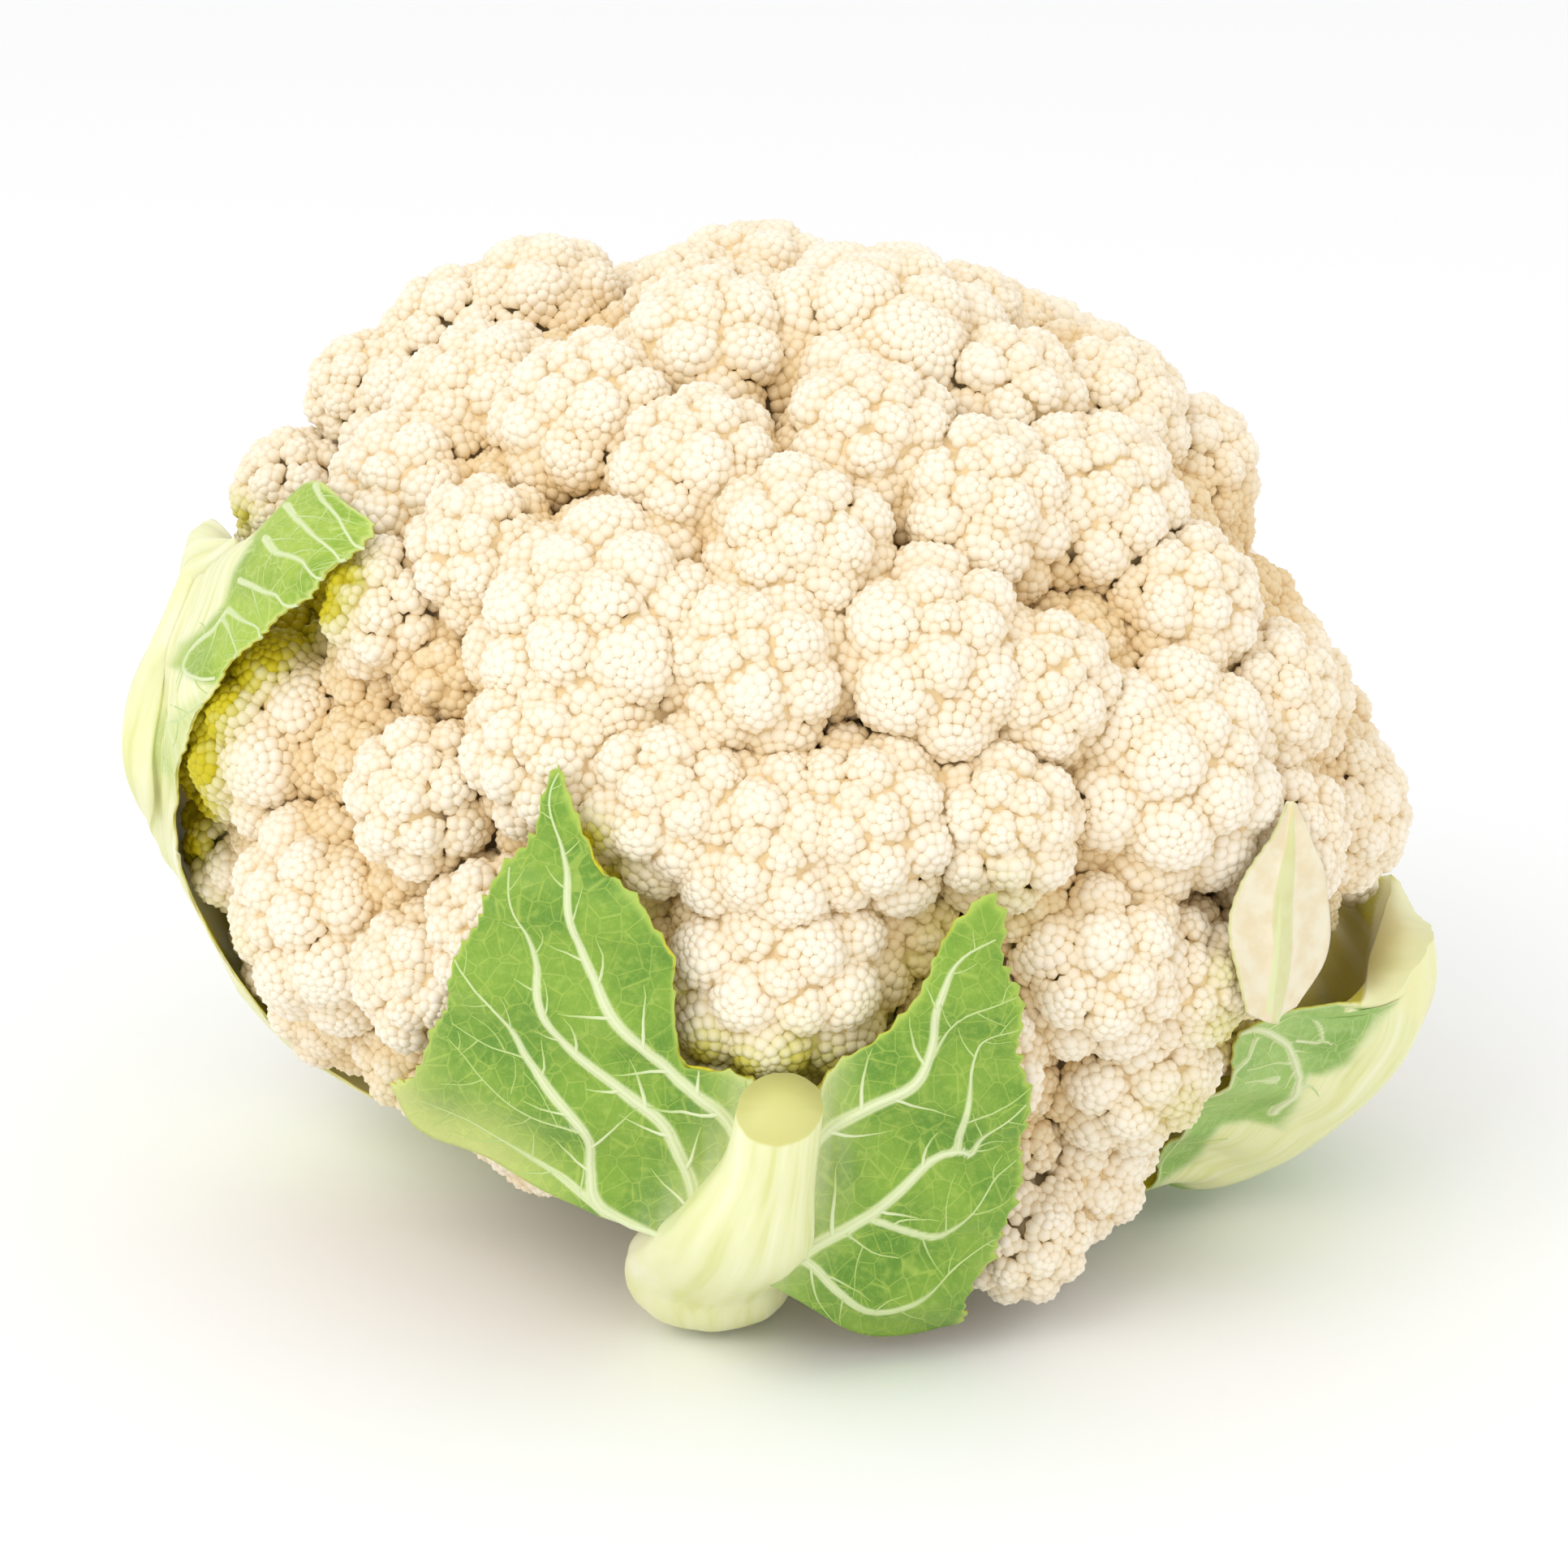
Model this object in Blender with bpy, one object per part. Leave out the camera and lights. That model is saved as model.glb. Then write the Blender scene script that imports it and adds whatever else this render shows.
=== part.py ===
# A trimmed cauliflower: the curd on its stalk, with cut and torn leaves round it.
# Metres, +Z up. It stands at z = 0, and its viewer is on the -Y side.
# The head's forms are placed as seen from the front: millimetres across and up on a plane
# through AIM that faces the viewer, and then carried along the line of sight onto the head.

import math

import bmesh
import bpy
import numpy as np

MM = 0.001
GOLDEN_ANGLE = math.pi * (3.0 - math.sqrt(5.0))
SEED = 7

# The viewer
AIM = np.array([1.5, 1.5, 62.0])
VIEW_DISTANCE = 682.5
VIEW_ELEVATION = math.radians(18.0)
TO_VIEWER = np.array([0.0, -math.cos(VIEW_ELEVATION), math.sin(VIEW_ELEVATION)])
VIEW_RIGHT = np.array([1.0, 0.0, 0.0])
VIEW_UP = np.array([0.0, math.sin(VIEW_ELEVATION), math.cos(VIEW_ELEVATION)])
EYE = AIM + VIEW_DISTANCE * TO_VIEWER

# The head's general form, in millimetres
HEAD_CENTRE = np.array([3.5, 1.5, 64.0])
HEAD_HALF = np.array([91.0, 84.0, 81.0])
HEAD_FOOT = 1.5
CORE_SHARE = 0.80
FLORET_SINK = 0.86

# The underside of the curd rises in a shallow cone to the stalk
STALK_AXIS = np.array([3.5, 11.5])
STALK_RADIUS = 21.0
STALK_TOP = 34.0
UNDERSIDE_TOP = STALK_TOP + 0.3
UNDERSIDE_FLAT = 24.0
UNDERSIDE_SLOPE = 0.55
UNDERSIDE_LEAST = 15.0

# The curd's mesh
CURD_SUBDIVISIONS = 6
CURD_FACE_SHARE = 0.39
KNOB_SHARE = 0.36
KNOB_REACH = 0.72
FLORET_BODY = 0.84
KNOBS_A_FLORET = 20
# The florets' axes lean up by this, and their knobs are counted from a way that is never along them
FLORET_RISE = np.array([0.0, 0.0, 12.0])
OFF_AXIS = np.array([0.3, 0.0, 0.0])
KNOB_START = 0.4
# A knob's size as a share of the usual one: at the floret's tip, and what is added at its edge
KNOB_TIP_SHARE = 0.72
KNOB_EDGE_SHARE = 0.34
KNOB_SPREAD = math.radians(105.0)

# Small deep florets where the others leave the core bare
GAP_PLACES = 700
GAP_RADIUS = 8.5
GAP_DEPTH = 15.0
GAP_LEAST_HEIGHT = 21.0
GAP_CLEARANCE = 0.95
GAP_APART = 10.0
GAP_MARGIN = 2.0

# The curd's outline in the photograph, on the view plane, and how much of a floret's radius
# is kept inside it
OUTLINE_SHARE = 0.94
# Steps of a floret's way inside the outline, and their length
OUTLINE_STEPS = 30
OUTLINE_STEP = 0.8
OUTLINE = (
    (-81.9, 45.6), (-80.1, 51.6), (-72.2, 58.9), (-68.0, 66.2), (-62.5, 72.2), (-49.2, 76.5), (-38.3, 81.9),
    (-29.8, 82.5), (-20.1, 78.5), (-8.0, 82.9), (-0.7, 85.0), (4.1, 84.6), (9.0, 80.7), (17.5, 77.3),
    (27.2, 78.9), (33.8, 74.7), (38.7, 73.2), (49.0, 68.0), (62.3, 61.3), (72.0, 52.8), (71.8, 48.0),
    (69.0, 43.8), (69.0, 39.5), (70.8, 32.8), (76.8, 31.0), (82.9, 16.5), (89.0, 10.4), (93.2, -4.1),
    (93.4, -8.5), (89.0, -15.5), (83.0, -20.0), (78.0, -25.0), (73.0, -33.0), (67.0, -42.0), (60.0, -51.0),
    (52.6, -61.7), (44.7, -68.4), (42.9, -73.2), (34.4, -79.9), (27.8, -81.1), (-8.0, -81.7), (-26.2, -64.7),
    (-44.4, -55.0), (-58.9, -46.5), (-68.6, -41.7), (-79.5, -32.0), (-88.0, -19.9), (-89.8, -12.6),
    (-92.2, 1.9), (-92.8, 12.8), (-91.0, 22.5), (-86.2, 33.5),
)

# Florets that the front shows: across, up, radius
FRONT_FLORETS = (
    (-0.7, -26.0, 17.0), (-16.5, -2.0, 13.0), (12.0, -6.0, 13.0), (-2.0, -9.0, 14.0),
    (-24.4, 20.0, 20.0), (-33.0, 5.0, 13.0), (2.3, 33.5, 13.5), (21.0, 17.7, 15.5),
    (31.4, -5.9, 11.5), (52.6, 2.0, 19.0), (38.0, 14.0, 10.5), (12.6, 58.0, 21.0),
    (-4.4, 71.0, 13.5), (28.4, 39.5, 13.5), (-12.8, 45.6, 12.0), (-27.4, 51.6, 14.5),
    (-52.8, 54.0, 15.5), (-38.3, 72.0, 13.0), (-49.2, 67.0, 12.0), (-44.4, 33.5, 11.0),
    (-57.7, 26.0, 10.0), (-71.0, 8.0, 17.0), (-52.8, -2.0, 11.0), (-64.0, -18.7, 17.0),
    (-52.0, -28.0, 11.0), (-70.0, -32.0, 13.0), (49.0, 59.0, 14.5), (61.5, 49.0, 10.5),
    (44.1, 39.5, 14.5), (58.0, 26.0, 12.0), (76.8, 14.0, 13.5), (81.5, -4.0, 12.0),
    (71.0, -8.0, 12.0), (45.3, -25.9, 13.5), (57.5, -28.4, 11.0), (70.0, -24.0, 11.0),
    (50.2, -40.5, 13.0), (40.5, -55.0, 13.5), (37.5, -71.0, 10.0), (26.0, -40.0, 12.0),
    (-74.0, 44.0, 9.5), (-65.0, 61.0, 9.0), (-14.0, 72.0, 9.0), (27.0, 70.0, 9.0),
    (-58.0, -42.0, 11.0), (-40.0, -22.0, 12.0), (-30.0, -38.0, 13.0), (-10.0, -45.0, 13.0),
)

# Florets that the front doesn't show, spread evenly over the rest of the head
REST_PLACES = 280
REST_RADIUS = 12.5
REST_LEAST_HEIGHT = 29.0
REST_CLEARANCE = 0.60

# The stalk and the leaves, in millimetres
STALK_SIDES = 36
LEAF_SCAR_DEPTH = 3.0
BLADE_THICK = 1.0
VEIN_HEIGHT = 1.3
VEIN_EVERY = 4
VEIN_LEAN = 0.5
LEAF_CLEARANCE = 1.6
LEAF_FOOT = 1.0
TOOTH_PITCH = 6.5
TOOTH_DEPTH = 1.6
LOW_FLARE = 6.5
LOW_FLARE_START = -56.0
LOW_FLARE_SPAN = 28.0


def unit(vectors):
    """The same directions at length one."""
    return vectors / np.linalg.norm(vectors, axis=-1, keepdims=True)


def seen(across, up, out=0.0):
    """The point on the head, raised by out, that lies in front of a place on the view plane."""
    ray = unit(AIM + across * VIEW_RIGHT + up * VIEW_UP - EYE)
    half = HEAD_HALF + out
    start = (EYE - HEAD_CENTRE) / half
    step = ray / half
    nearest = -np.dot(start, step) / np.dot(step, step)
    inside = 1.0 - np.dot(start + nearest * step, start + nearest * step)
    along = nearest - math.sqrt(max(inside, 0.0) / np.dot(step, step))
    return EYE + along * ray


def around(azimuth, height, out=0.0):
    """A point on the head at a height. Azimuth 0 faces the viewer, and 90 is to the right."""
    turn = math.radians(azimuth)
    level = min(max((height - HEAD_CENTRE[2]) / HEAD_HALF[2], -1.0), 1.0)
    share = math.sqrt(1.0 - level * level)
    x = HEAD_CENTRE[0] + (HEAD_HALF[0] * share + out) * math.sin(turn)
    y = HEAD_CENTRE[1] - (HEAD_HALF[1] * share + out) * math.cos(turn)
    return np.array([x, y, height])


def by_stalk(azimuth, radius, height):
    """A point at a distance from the stalk's axis."""
    turn = math.radians(azimuth)
    x = STALK_AXIS[0] + radius * math.sin(turn)
    y = STALK_AXIS[1] - radius * math.cos(turn)
    return np.array([x, y, height])


def at_depth(across, up, depth):
    """The point on a line of sight that lies at a depth, along +Y."""
    ray = unit(AIM + across * VIEW_RIGHT + up * VIEW_UP - EYE)
    return EYE + ray * (depth - EYE[1]) / ray[1]


def on_view_plane(point):
    """Where a point is seen: across and up."""
    away = point - AIM
    scale = VIEW_DISTANCE / (VIEW_DISTANCE - away @ TO_VIEWER)
    return np.array([away @ VIEW_RIGHT, away @ VIEW_UP]) * scale


def inside_outline(point):
    """How far a place on the view plane lies inside the outline; less than zero outside it."""
    corners = np.array(OUTLINE)
    after = np.roll(corners, -1, axis=0)
    edge = after - corners
    share = np.clip(np.sum((point - corners) * edge, axis=1) / np.sum(edge * edge, axis=1), 0.0, 1.0)
    apart = np.min(np.linalg.norm(corners + share[:, None] * edge - point, axis=1))
    spans = (corners[:, 1] > point[1]) != (after[:, 1] > point[1])
    rise = np.where(spans, edge[:, 1], 1.0)
    crosses = spans & (point[0] < corners[:, 0] + (point[1] - corners[:, 1]) * edge[:, 0] / rise)
    return apart if np.sum(crosses) % 2 == 1 else -apart


def within_outline(centre, radius):
    """A floret's middle, moved across the line of sight until its ball is seen inside the outline."""
    for _ in range(OUTLINE_STEPS):
        if inside_outline(on_view_plane(centre)) >= OUTLINE_SHARE * radius:
            break
        inward = HEAD_CENTRE - centre
        inward = inward - (inward @ TO_VIEWER) * TO_VIEWER
        centre = centre + OUTLINE_STEP * unit(inward)
    return centre


def floret_centre(across, up, radius):
    """Where a floret's middle lies, so that it stands out of the head by a part of its radius."""
    centre = seen(across, up, -FLORET_SINK * radius)
    ray = unit(centre - EYE)
    short = HEAD_FOOT + radius - centre[2]
    if short > 0.0:
        centre = centre + ray * short / ray[2]
    return within_outline(centre, radius)


def rest_florets(front):
    """Evenly spread florets where the front ones leave the head bare."""
    found = []
    for index in range(REST_PLACES):
        level = 1.0 - 2.0 * (index + 0.5) / REST_PLACES
        turn = GOLDEN_ANGLE * index
        share = math.sqrt(1.0 - level * level)
        place = np.array([share * math.cos(turn), share * math.sin(turn), level])
        radius = REST_RADIUS * (0.86 + 0.28 * abs(math.sin(SEED + 2.4 * index)))
        centre = within_outline(HEAD_CENTRE + (HEAD_HALF - FLORET_SINK * radius) * place, radius)
        if centre[2] < REST_LEAST_HEIGHT:
            continue
        if all(np.linalg.norm(centre - c) > REST_CLEARANCE * (radius + r) for c, r in front + found):
            found.append((centre, radius))
    return found


def gap_florets(others):
    """Small deep florets where the others leave the core bare."""
    found = []
    for index in range(GAP_PLACES):
        level = 1.0 - 2.0 * (index + 0.5) / GAP_PLACES
        turn = GOLDEN_ANGLE * index
        share = math.sqrt(1.0 - level * level)
        place = np.array([share * math.cos(turn), share * math.sin(turn), level])
        centre = within_outline(HEAD_CENTRE + (HEAD_HALF - GAP_DEPTH) * place, GAP_RADIUS + GAP_MARGIN)
        covered = any(np.linalg.norm(centre - c) < GAP_CLEARANCE * r for c, r in others)
        taken = any(np.linalg.norm(centre - c) < GAP_APART for c, _ in found)
        if centre[2] > GAP_LEAST_HEIGHT and not covered and not taken:
            found.append((centre, GAP_RADIUS))
    return found


def knobs_of(centre, radius):
    """Knobs in a spiral over one floret, small at its tip and larger towards its edge."""
    axis = unit(centre - HEAD_CENTRE + FLORET_RISE)
    side = unit(np.cross(axis, TO_VIEWER + OFF_AXIS))
    other = np.cross(axis, side)
    knobs = [(centre, radius * FLORET_BODY)]
    for index in range(KNOBS_A_FLORET):
        share = math.sqrt((index + KNOB_START) / KNOBS_A_FLORET)
        lean = KNOB_SPREAD * share
        turn = GOLDEN_ANGLE * index
        aside = math.cos(turn) * side + math.sin(turn) * other
        outward = math.cos(lean) * axis + math.sin(lean) * aside
        size = radius * KNOB_SHARE * (KNOB_TIP_SHARE + KNOB_EDGE_SHARE * share)
        knobs.append((centre + outward * radius * KNOB_REACH, size))
    return knobs


def head_knobs():
    """Every knob of the head as a middle and a radius."""
    front = [(floret_centre(*floret), floret[2]) for floret in FRONT_FLORETS]
    florets = front + rest_florets(front)
    florets += gap_florets(florets)
    knobs = [knob for centre, radius in florets for knob in knobs_of(centre, radius)]
    centres = np.array([centre for centre, _ in knobs])
    radii = np.array([radius for _, radius in knobs])
    return centres, radii


def core_reach(ways):
    """How far the core reaches each way: an ellipsoid with a shallow cone under it."""
    reach = CORE_SHARE / np.linalg.norm(ways / HEAD_HALF, axis=-1)
    for _ in range(3):
        points = HEAD_CENTRE + ways * reach[..., None]
        aside = np.linalg.norm(points[..., :2] - STALK_AXIS, axis=-1)
        slope = UNDERSIDE_TOP - UNDERSIDE_SLOPE * (aside - UNDERSIDE_FLAT)
        least = np.clip(slope, UNDERSIDE_LEAST, UNDERSIDE_TOP)
        below = ways[..., 2] < -0.05
        limit = (least - HEAD_CENTRE[2]) / np.where(below, ways[..., 2], -1.0)
        reach = np.where(below, np.minimum(reach, limit), reach)
    return reach


def head_reach(ways, knobs):
    """How far the head reaches each way from its middle, over its core and all its knobs."""
    centres, radii = knobs
    reach = core_reach(ways)
    for centre, radius in zip(centres - HEAD_CENTRE, radii):
        along = ways @ centre
        inside = along * along - centre @ centre + radius * radius
        out = along + np.sqrt(np.maximum(inside, 0.0))
        reach = np.where((inside > 0.0) & (out > reach), out, reach)
    down = ways[..., 2] < -0.05
    floor = (HEAD_FOOT - HEAD_CENTRE[2]) / np.where(down, ways[..., 2], -1.0)
    reach = np.where(down, np.minimum(reach, floor), reach)
    points = HEAD_CENTRE + ways * reach[..., None]
    aside = np.linalg.norm(points[..., :2] - STALK_AXIS, axis=-1)
    under = down & (aside < UNDERSIDE_FLAT)
    flat = (UNDERSIDE_TOP - HEAD_CENTRE[2]) / np.where(down, ways[..., 2], -1.0)
    return np.where(under, np.minimum(reach, flat), reach)


def part_material(name, colour, roughness):
    """A plain finish for one sub-part."""
    material = bpy.data.materials.new(name)
    material.use_nodes = True
    shader = material.node_tree.nodes["Principled BSDF"]
    shader.inputs["Base Color"].default_value = (*colour, 1.0)
    shader.inputs["Roughness"].default_value = roughness
    shader.inputs["Metallic"].default_value = 0.0
    return material


def part_object(name, mesh, material, collection):
    """An object for one sub-part, in the part's collection and shaded smooth."""
    part = bpy.data.objects.new(name, mesh)
    collection.objects.link(part)
    mesh.materials.clear()
    mesh.materials.append(material)
    mesh.shade_smooth()
    return part


def build_curd(material, collection, knobs):
    """The curd: an even ball drawn out to the knobs, with faces kept where it bends most."""
    mesh = bpy.data.meshes.new("curd")
    shape = bmesh.new()
    bmesh.ops.create_icosphere(shape, subdivisions=CURD_SUBDIVISIONS, radius=1.0)
    ways = unit(np.array([vertex.co for vertex in shape.verts]))
    places = HEAD_CENTRE + ways * head_reach(ways, knobs)[:, None]
    for vertex, place in zip(shape.verts, places):
        vertex.co = place * MM
    shape.to_mesh(mesh)
    shape.free()
    curd = part_object("curd", mesh, material, collection)
    fewer = curd.modifiers.new("fewer_faces", "DECIMATE")
    fewer.ratio = CURD_FACE_SHARE
    fewer.use_collapse_triangulate = True
    return curd


def evaluated_mesh(piece):
    """The mesh that an object's modifiers give, as a new mesh."""
    graph = bpy.context.evaluated_depsgraph_get()
    return bpy.data.meshes.new_from_object(piece.evaluated_get(graph))


def loft(name, rings):
    """A closed solid through rings of points, each capped by a fan at its ends."""
    count = len(rings[0])
    shape = bmesh.new()
    rows = [[shape.verts.new(point * MM) for point in ring] for ring in rings]
    for lower, upper in zip(rows, rows[1:]):
        for index in range(count):
            after = (index + 1) % count
            corners = (lower[index], lower[after], upper[after], upper[index])
            shape.faces.new((corners[0], corners[1], corners[2]))
            shape.faces.new((corners[0], corners[2], corners[3]))
    for row, ring in ((rows[0], rings[0]), (rows[-1], rings[-1])):
        middle = shape.verts.new(np.mean(ring, axis=0) * MM)
        for index in range(count):
            shape.faces.new((row[index], row[(index + 1) % count], middle))
    bmesh.ops.recalc_face_normals(shape, faces=shape.faces)
    mesh = bpy.data.meshes.new(name)
    shape.to_mesh(mesh)
    shape.free()
    return mesh


def build_stalk(material, collection):
    """The stalk: a stout lobed trunk, cut flat at its butt, that widens up to the curd."""
    levels = ((0.0, 0.84), (1.5, 0.92), (8.0, 0.98), (18.0, 1.0), (27.0, 0.98), (STALK_TOP, 1.02))
    rings = []
    for height, share in levels:
        ring = []
        for index in range(STALK_SIDES):
            turn = math.tau * index / STALK_SIDES
            lobes = 1.0 + 0.03 * math.cos(5.0 * turn + 0.05 * height) + 0.015 * math.cos(11.0 * turn)
            reach = (STALK_RADIUS - LEAF_SCAR_DEPTH) * share * lobes
            x = STALK_AXIS[0] + reach * math.cos(turn)
            y = STALK_AXIS[1] + reach * math.sin(turn)
            ring.append([x, y, height])
        rings.append(np.array(ring))
    return part_object("stalk", loft("stalk", rings), material, collection)


def smooth_through(points, places):
    """Places along a smooth curve through points; place 1.5 is half way between points 1 and 2."""
    points = np.asarray(points, float)
    last = len(points) - 1
    if last == 0:
        return np.repeat(points, len(places), axis=0)
    padded = np.concatenate([[2 * points[0] - points[1]], points, [2 * points[-1] - points[-2]]])
    start = np.minimum(np.floor(places).astype(int), last - 1)
    t = (places - start).reshape((-1,) + (1,) * (points.ndim - 1))
    a, b, c, d = (padded[start + k] for k in range(4))
    return 0.5 * (2 * b + (c - a) * t + (2 * a - 5 * b + 4 * c - d) * t**2 + (3 * b - a - 3 * c + d) * t**3)


def net_grid(net, rows, columns):
    """A fine grid of points through a coarse net of them."""
    net = np.array(net, float)
    long_way = smooth_through(net, np.linspace(0.0, len(net) - 1.0, rows))
    across = smooth_through(long_way.transpose(1, 0, 2), np.linspace(0.0, net.shape[1] - 1.0, columns))
    return across.transpose(1, 0, 2)


def patch_grid(side_a, side_b, side_c, side_d, rows, columns):
    """A grid within four edges: a and c run up its sides, d along its foot and b along its head."""
    v = np.linspace(0.0, 1.0, rows)
    u = np.linspace(0.0, 1.0, columns)
    a = smooth_through(side_a, v * (len(side_a) - 1))[:, None]
    c = smooth_through(side_c, v * (len(side_c) - 1))[:, None]
    b = smooth_through(side_b, u * (len(side_b) - 1))[None]
    d = smooth_through(side_d, u * (len(side_d) - 1))[None]
    u, v = u[None, :, None], v[:, None, None]
    corners = (1 - v) * ((1 - u) * a[:1] + u * c[:1]) + v * ((1 - u) * a[-1:] + u * c[-1:])
    return (1 - v) * d + v * b + (1 - u) * a + u * c - corners


def spread_most(values):
    """Each value raised to the largest beside it on the grid."""
    padded = np.pad(values, 1, mode="edge")
    rows, columns = values.shape
    return np.max([padded[i:i + rows, j:j + columns] for i in range(3) for j in range(3)], axis=0)


def spread_mean(values):
    """Each value evened with those beside it on the grid."""
    padded = np.pad(values, 1, mode="edge")
    rows, columns = values.shape
    return np.mean([padded[i:i + rows, j:j + columns] for i in range(3) for j in range(3)], axis=0)


def clear_of_head(grid, knobs, clearance):
    """The same sheet, moved outwards wherever it would come into the curd."""
    away = grid - HEAD_CENTRE
    distance = np.linalg.norm(away, axis=-1)
    ways = away / distance[..., None]
    short = np.maximum(head_reach(ways, knobs) + clearance - distance, 0.0)
    push = spread_mean(spread_most(spread_most(short)))
    return HEAD_CENTRE + ways * (distance + np.maximum(push, short))[..., None]


def toothed(grid, columns):
    """The same sheet with teeth cut along the named edge columns."""
    grid = grid.copy()
    for column in columns:
        line = grid[:, column]
        inner = grid[:, 1 if column == 0 else column - 1]
        run = np.concatenate([[0.0], np.cumsum(np.linalg.norm(np.diff(line, axis=0), axis=-1))])
        saw = (run / TOOTH_PITCH) % 1.0
        grid[:, column] = line + unit(line - inner) * (TOOTH_DEPTH * (saw - 0.5))[:, None]
    return grid


def sheet_mesh(name, grid, thickness):
    """A closed slab: the grid is its inner face, and its outer face stands off by the thickness."""
    rows, columns = grid.shape[:2]
    along = np.gradient(grid, axis=0)
    across = np.gradient(grid, axis=1)
    outward = np.cross(along, across)
    outward = unit(outward)
    if np.sum(outward * (grid - HEAD_CENTRE)) < 0.0:
        outward = -outward
    outer = grid + outward * thickness[..., None]
    shape = bmesh.new()
    faces = [
        [[shape.verts.new(face[r, c] * MM) for c in range(columns)] for r in range(rows)]
        for face in (grid, outer)
    ]
    for side in faces:
        for r in range(rows - 1):
            for c in range(columns - 1):
                corners = (side[r][c], side[r][c + 1], side[r + 1][c + 1], side[r + 1][c])
                shape.faces.new((corners[0], corners[1], corners[2]))
                shape.faces.new((corners[0], corners[2], corners[3]))
    rim = [(0, c) for c in range(columns)] + [(r, columns - 1) for r in range(1, rows)]
    rim += [(rows - 1, c) for c in range(columns - 2, -1, -1)] + [(r, 0) for r in range(rows - 2, 0, -1)]
    for (r, c), (s, d) in zip(rim, rim[1:] + rim[:1]):
        inner, outer_side = faces
        shape.faces.new((inner[r][c], inner[s][d], outer_side[s][d]))
        shape.faces.new((inner[r][c], outer_side[s][d], outer_side[r][c]))
    bmesh.ops.recalc_face_normals(shape, faces=shape.faces)
    mesh = bpy.data.meshes.new(name)
    shape.to_mesh(mesh)
    shape.free()
    return mesh


def swept_rings(stations, sides, rings):
    """Oval rings along a curve: each station is a point, a half width and a half depth."""
    path = np.array([np.concatenate([point, [wide, deep]]) for point, wide, deep in stations])
    line = smooth_through(path, np.linspace(0.0, len(path) - 1.0, rings))
    forward = unit(np.gradient(line[:, :3], axis=0))
    wide_way = unit(VIEW_RIGHT - forward * (forward @ VIEW_RIGHT)[:, None])
    deep_way = np.cross(forward, wide_way)
    made = []
    for index in range(rings):
        turn = np.linspace(0.0, math.tau, sides, endpoint=False)[:, None]
        wide, deep = line[index, 3], line[index, 4]
        oval = np.cos(turn) * wide * wide_way[index] + np.sin(turn) * deep * deep_way[index]
        made.append(line[index, :3] + oval)
    return made


# The front leaf's rib runs from its cut top down to its foot and then under the head to the
# stalk. Each station is a point, a half width and a half depth.
FRONT_RIB = (
    (seen(0.1, -44.0, 7.5), 5.4, 3.6),
    (seen(-1.0, -51.0, 8.0), 5.8, 4.2),
    (seen(-2.4, -58.5, 8.0), 6.3, 4.8),
    (seen(-5.0, -67.0, 7.5), 7.8, 5.6),
    (np.array([-7.0, -65.0, 14.5]), 9.6, 6.6),
    (np.array([-7.5, -58.5, 8.0]), 9.4, 7.0),
    (np.array([-5.5, -46.0, 8.0]), 9.2, 7.0),
    (np.array([-2.5, -32.0, 9.5]), 9.2, 7.0),
    (np.array([1.5, -12.0, 13.5]), 9.5, 7.0),
)

RIB_SIDES = 12
RIB_RINGS = 16
RIB_GAP = 0.5
BLADE_SIZE = (19, 13)

# The front leaf's two blades: their four edges on the view plane, and how far they stand off
LEFT_BLADE = {
    "rib": ((-14.5, -67.5), (-9.0, -60.0), (-4.5, -52.0), (-2.5, -45.5)),
    "head": ((-2.5, -45.5), (-11.0, -42.0), (-15.0, -41.0), (-16.8, -32.0), (-16.6, -25.0),
             (-23.0, -16.5), (-28.0, -11.0), (-31.5, -3.0), (-33.5, 2.9)),
    "margin": ((-58.5, -46.0), (-53.5, -39.5), (-49.5, -29.0), (-45.5, -18.5), (-40.5, -11.0),
               (-37.5, -6.0), (-34.9, 0.0), (-33.5, 2.9)),
    "foot": ((-14.5, -67.5), (-25.0, -64.5), (-36.0, -60.0), (-45.0, -55.5), (-54.5, -52.0),
             (-58.5, -46.0)),
    "out": 3.0,
}
RIGHT_BLADE = {
    "rib": ((-6.0, -72.0), (0.0, -64.0), (3.0, -55.0), (4.8, -45.5)),
    "head": ((4.8, -45.5), (9.5, -40.5), (16.5, -36.0), (20.5, -30.5), (24.0, -22.5), (29.6, -16.6)),
    "margin": ((25.4, -81.0), (29.5, -73.5), (34.5, -62.0), (36.3, -46.0), (34.5, -31.0), (32.6, -20.0),
               (29.6, -16.6)),
    "foot": ((-6.0, -72.0), (3.0, -77.5), (10.5, -82.0), (18.0, -82.5), (25.4, -81.0)),
    "out": 3.5,
}


def behind(point, inward, back, up=0.0):
    """A point moved towards the middle of the head, back from the viewer and up."""
    side = math.copysign(1.0, HEAD_CENTRE[0] - point[0])
    return point + np.array([side * inward, back, up])


def leaf_base(azimuth, half_angle):
    """The row of points where a leaf grows from the stalk."""
    shares = (1.0, 0.5, 0.0, -0.5, -1.0)
    return [by_stalk(azimuth + half_angle * k, STALK_RADIUS - 1.0, 13.0) for k in shares]


def widened(row):
    """A row of five points with two more before its fourth and one before its last."""
    a, b, c, d, e = (np.asarray(point, float) for point in row)
    return [a, b, c, c + (d - c) / 3.0, c + (d - c) * 2.0 / 3.0, d, (d + e) / 2.0, e]


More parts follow.
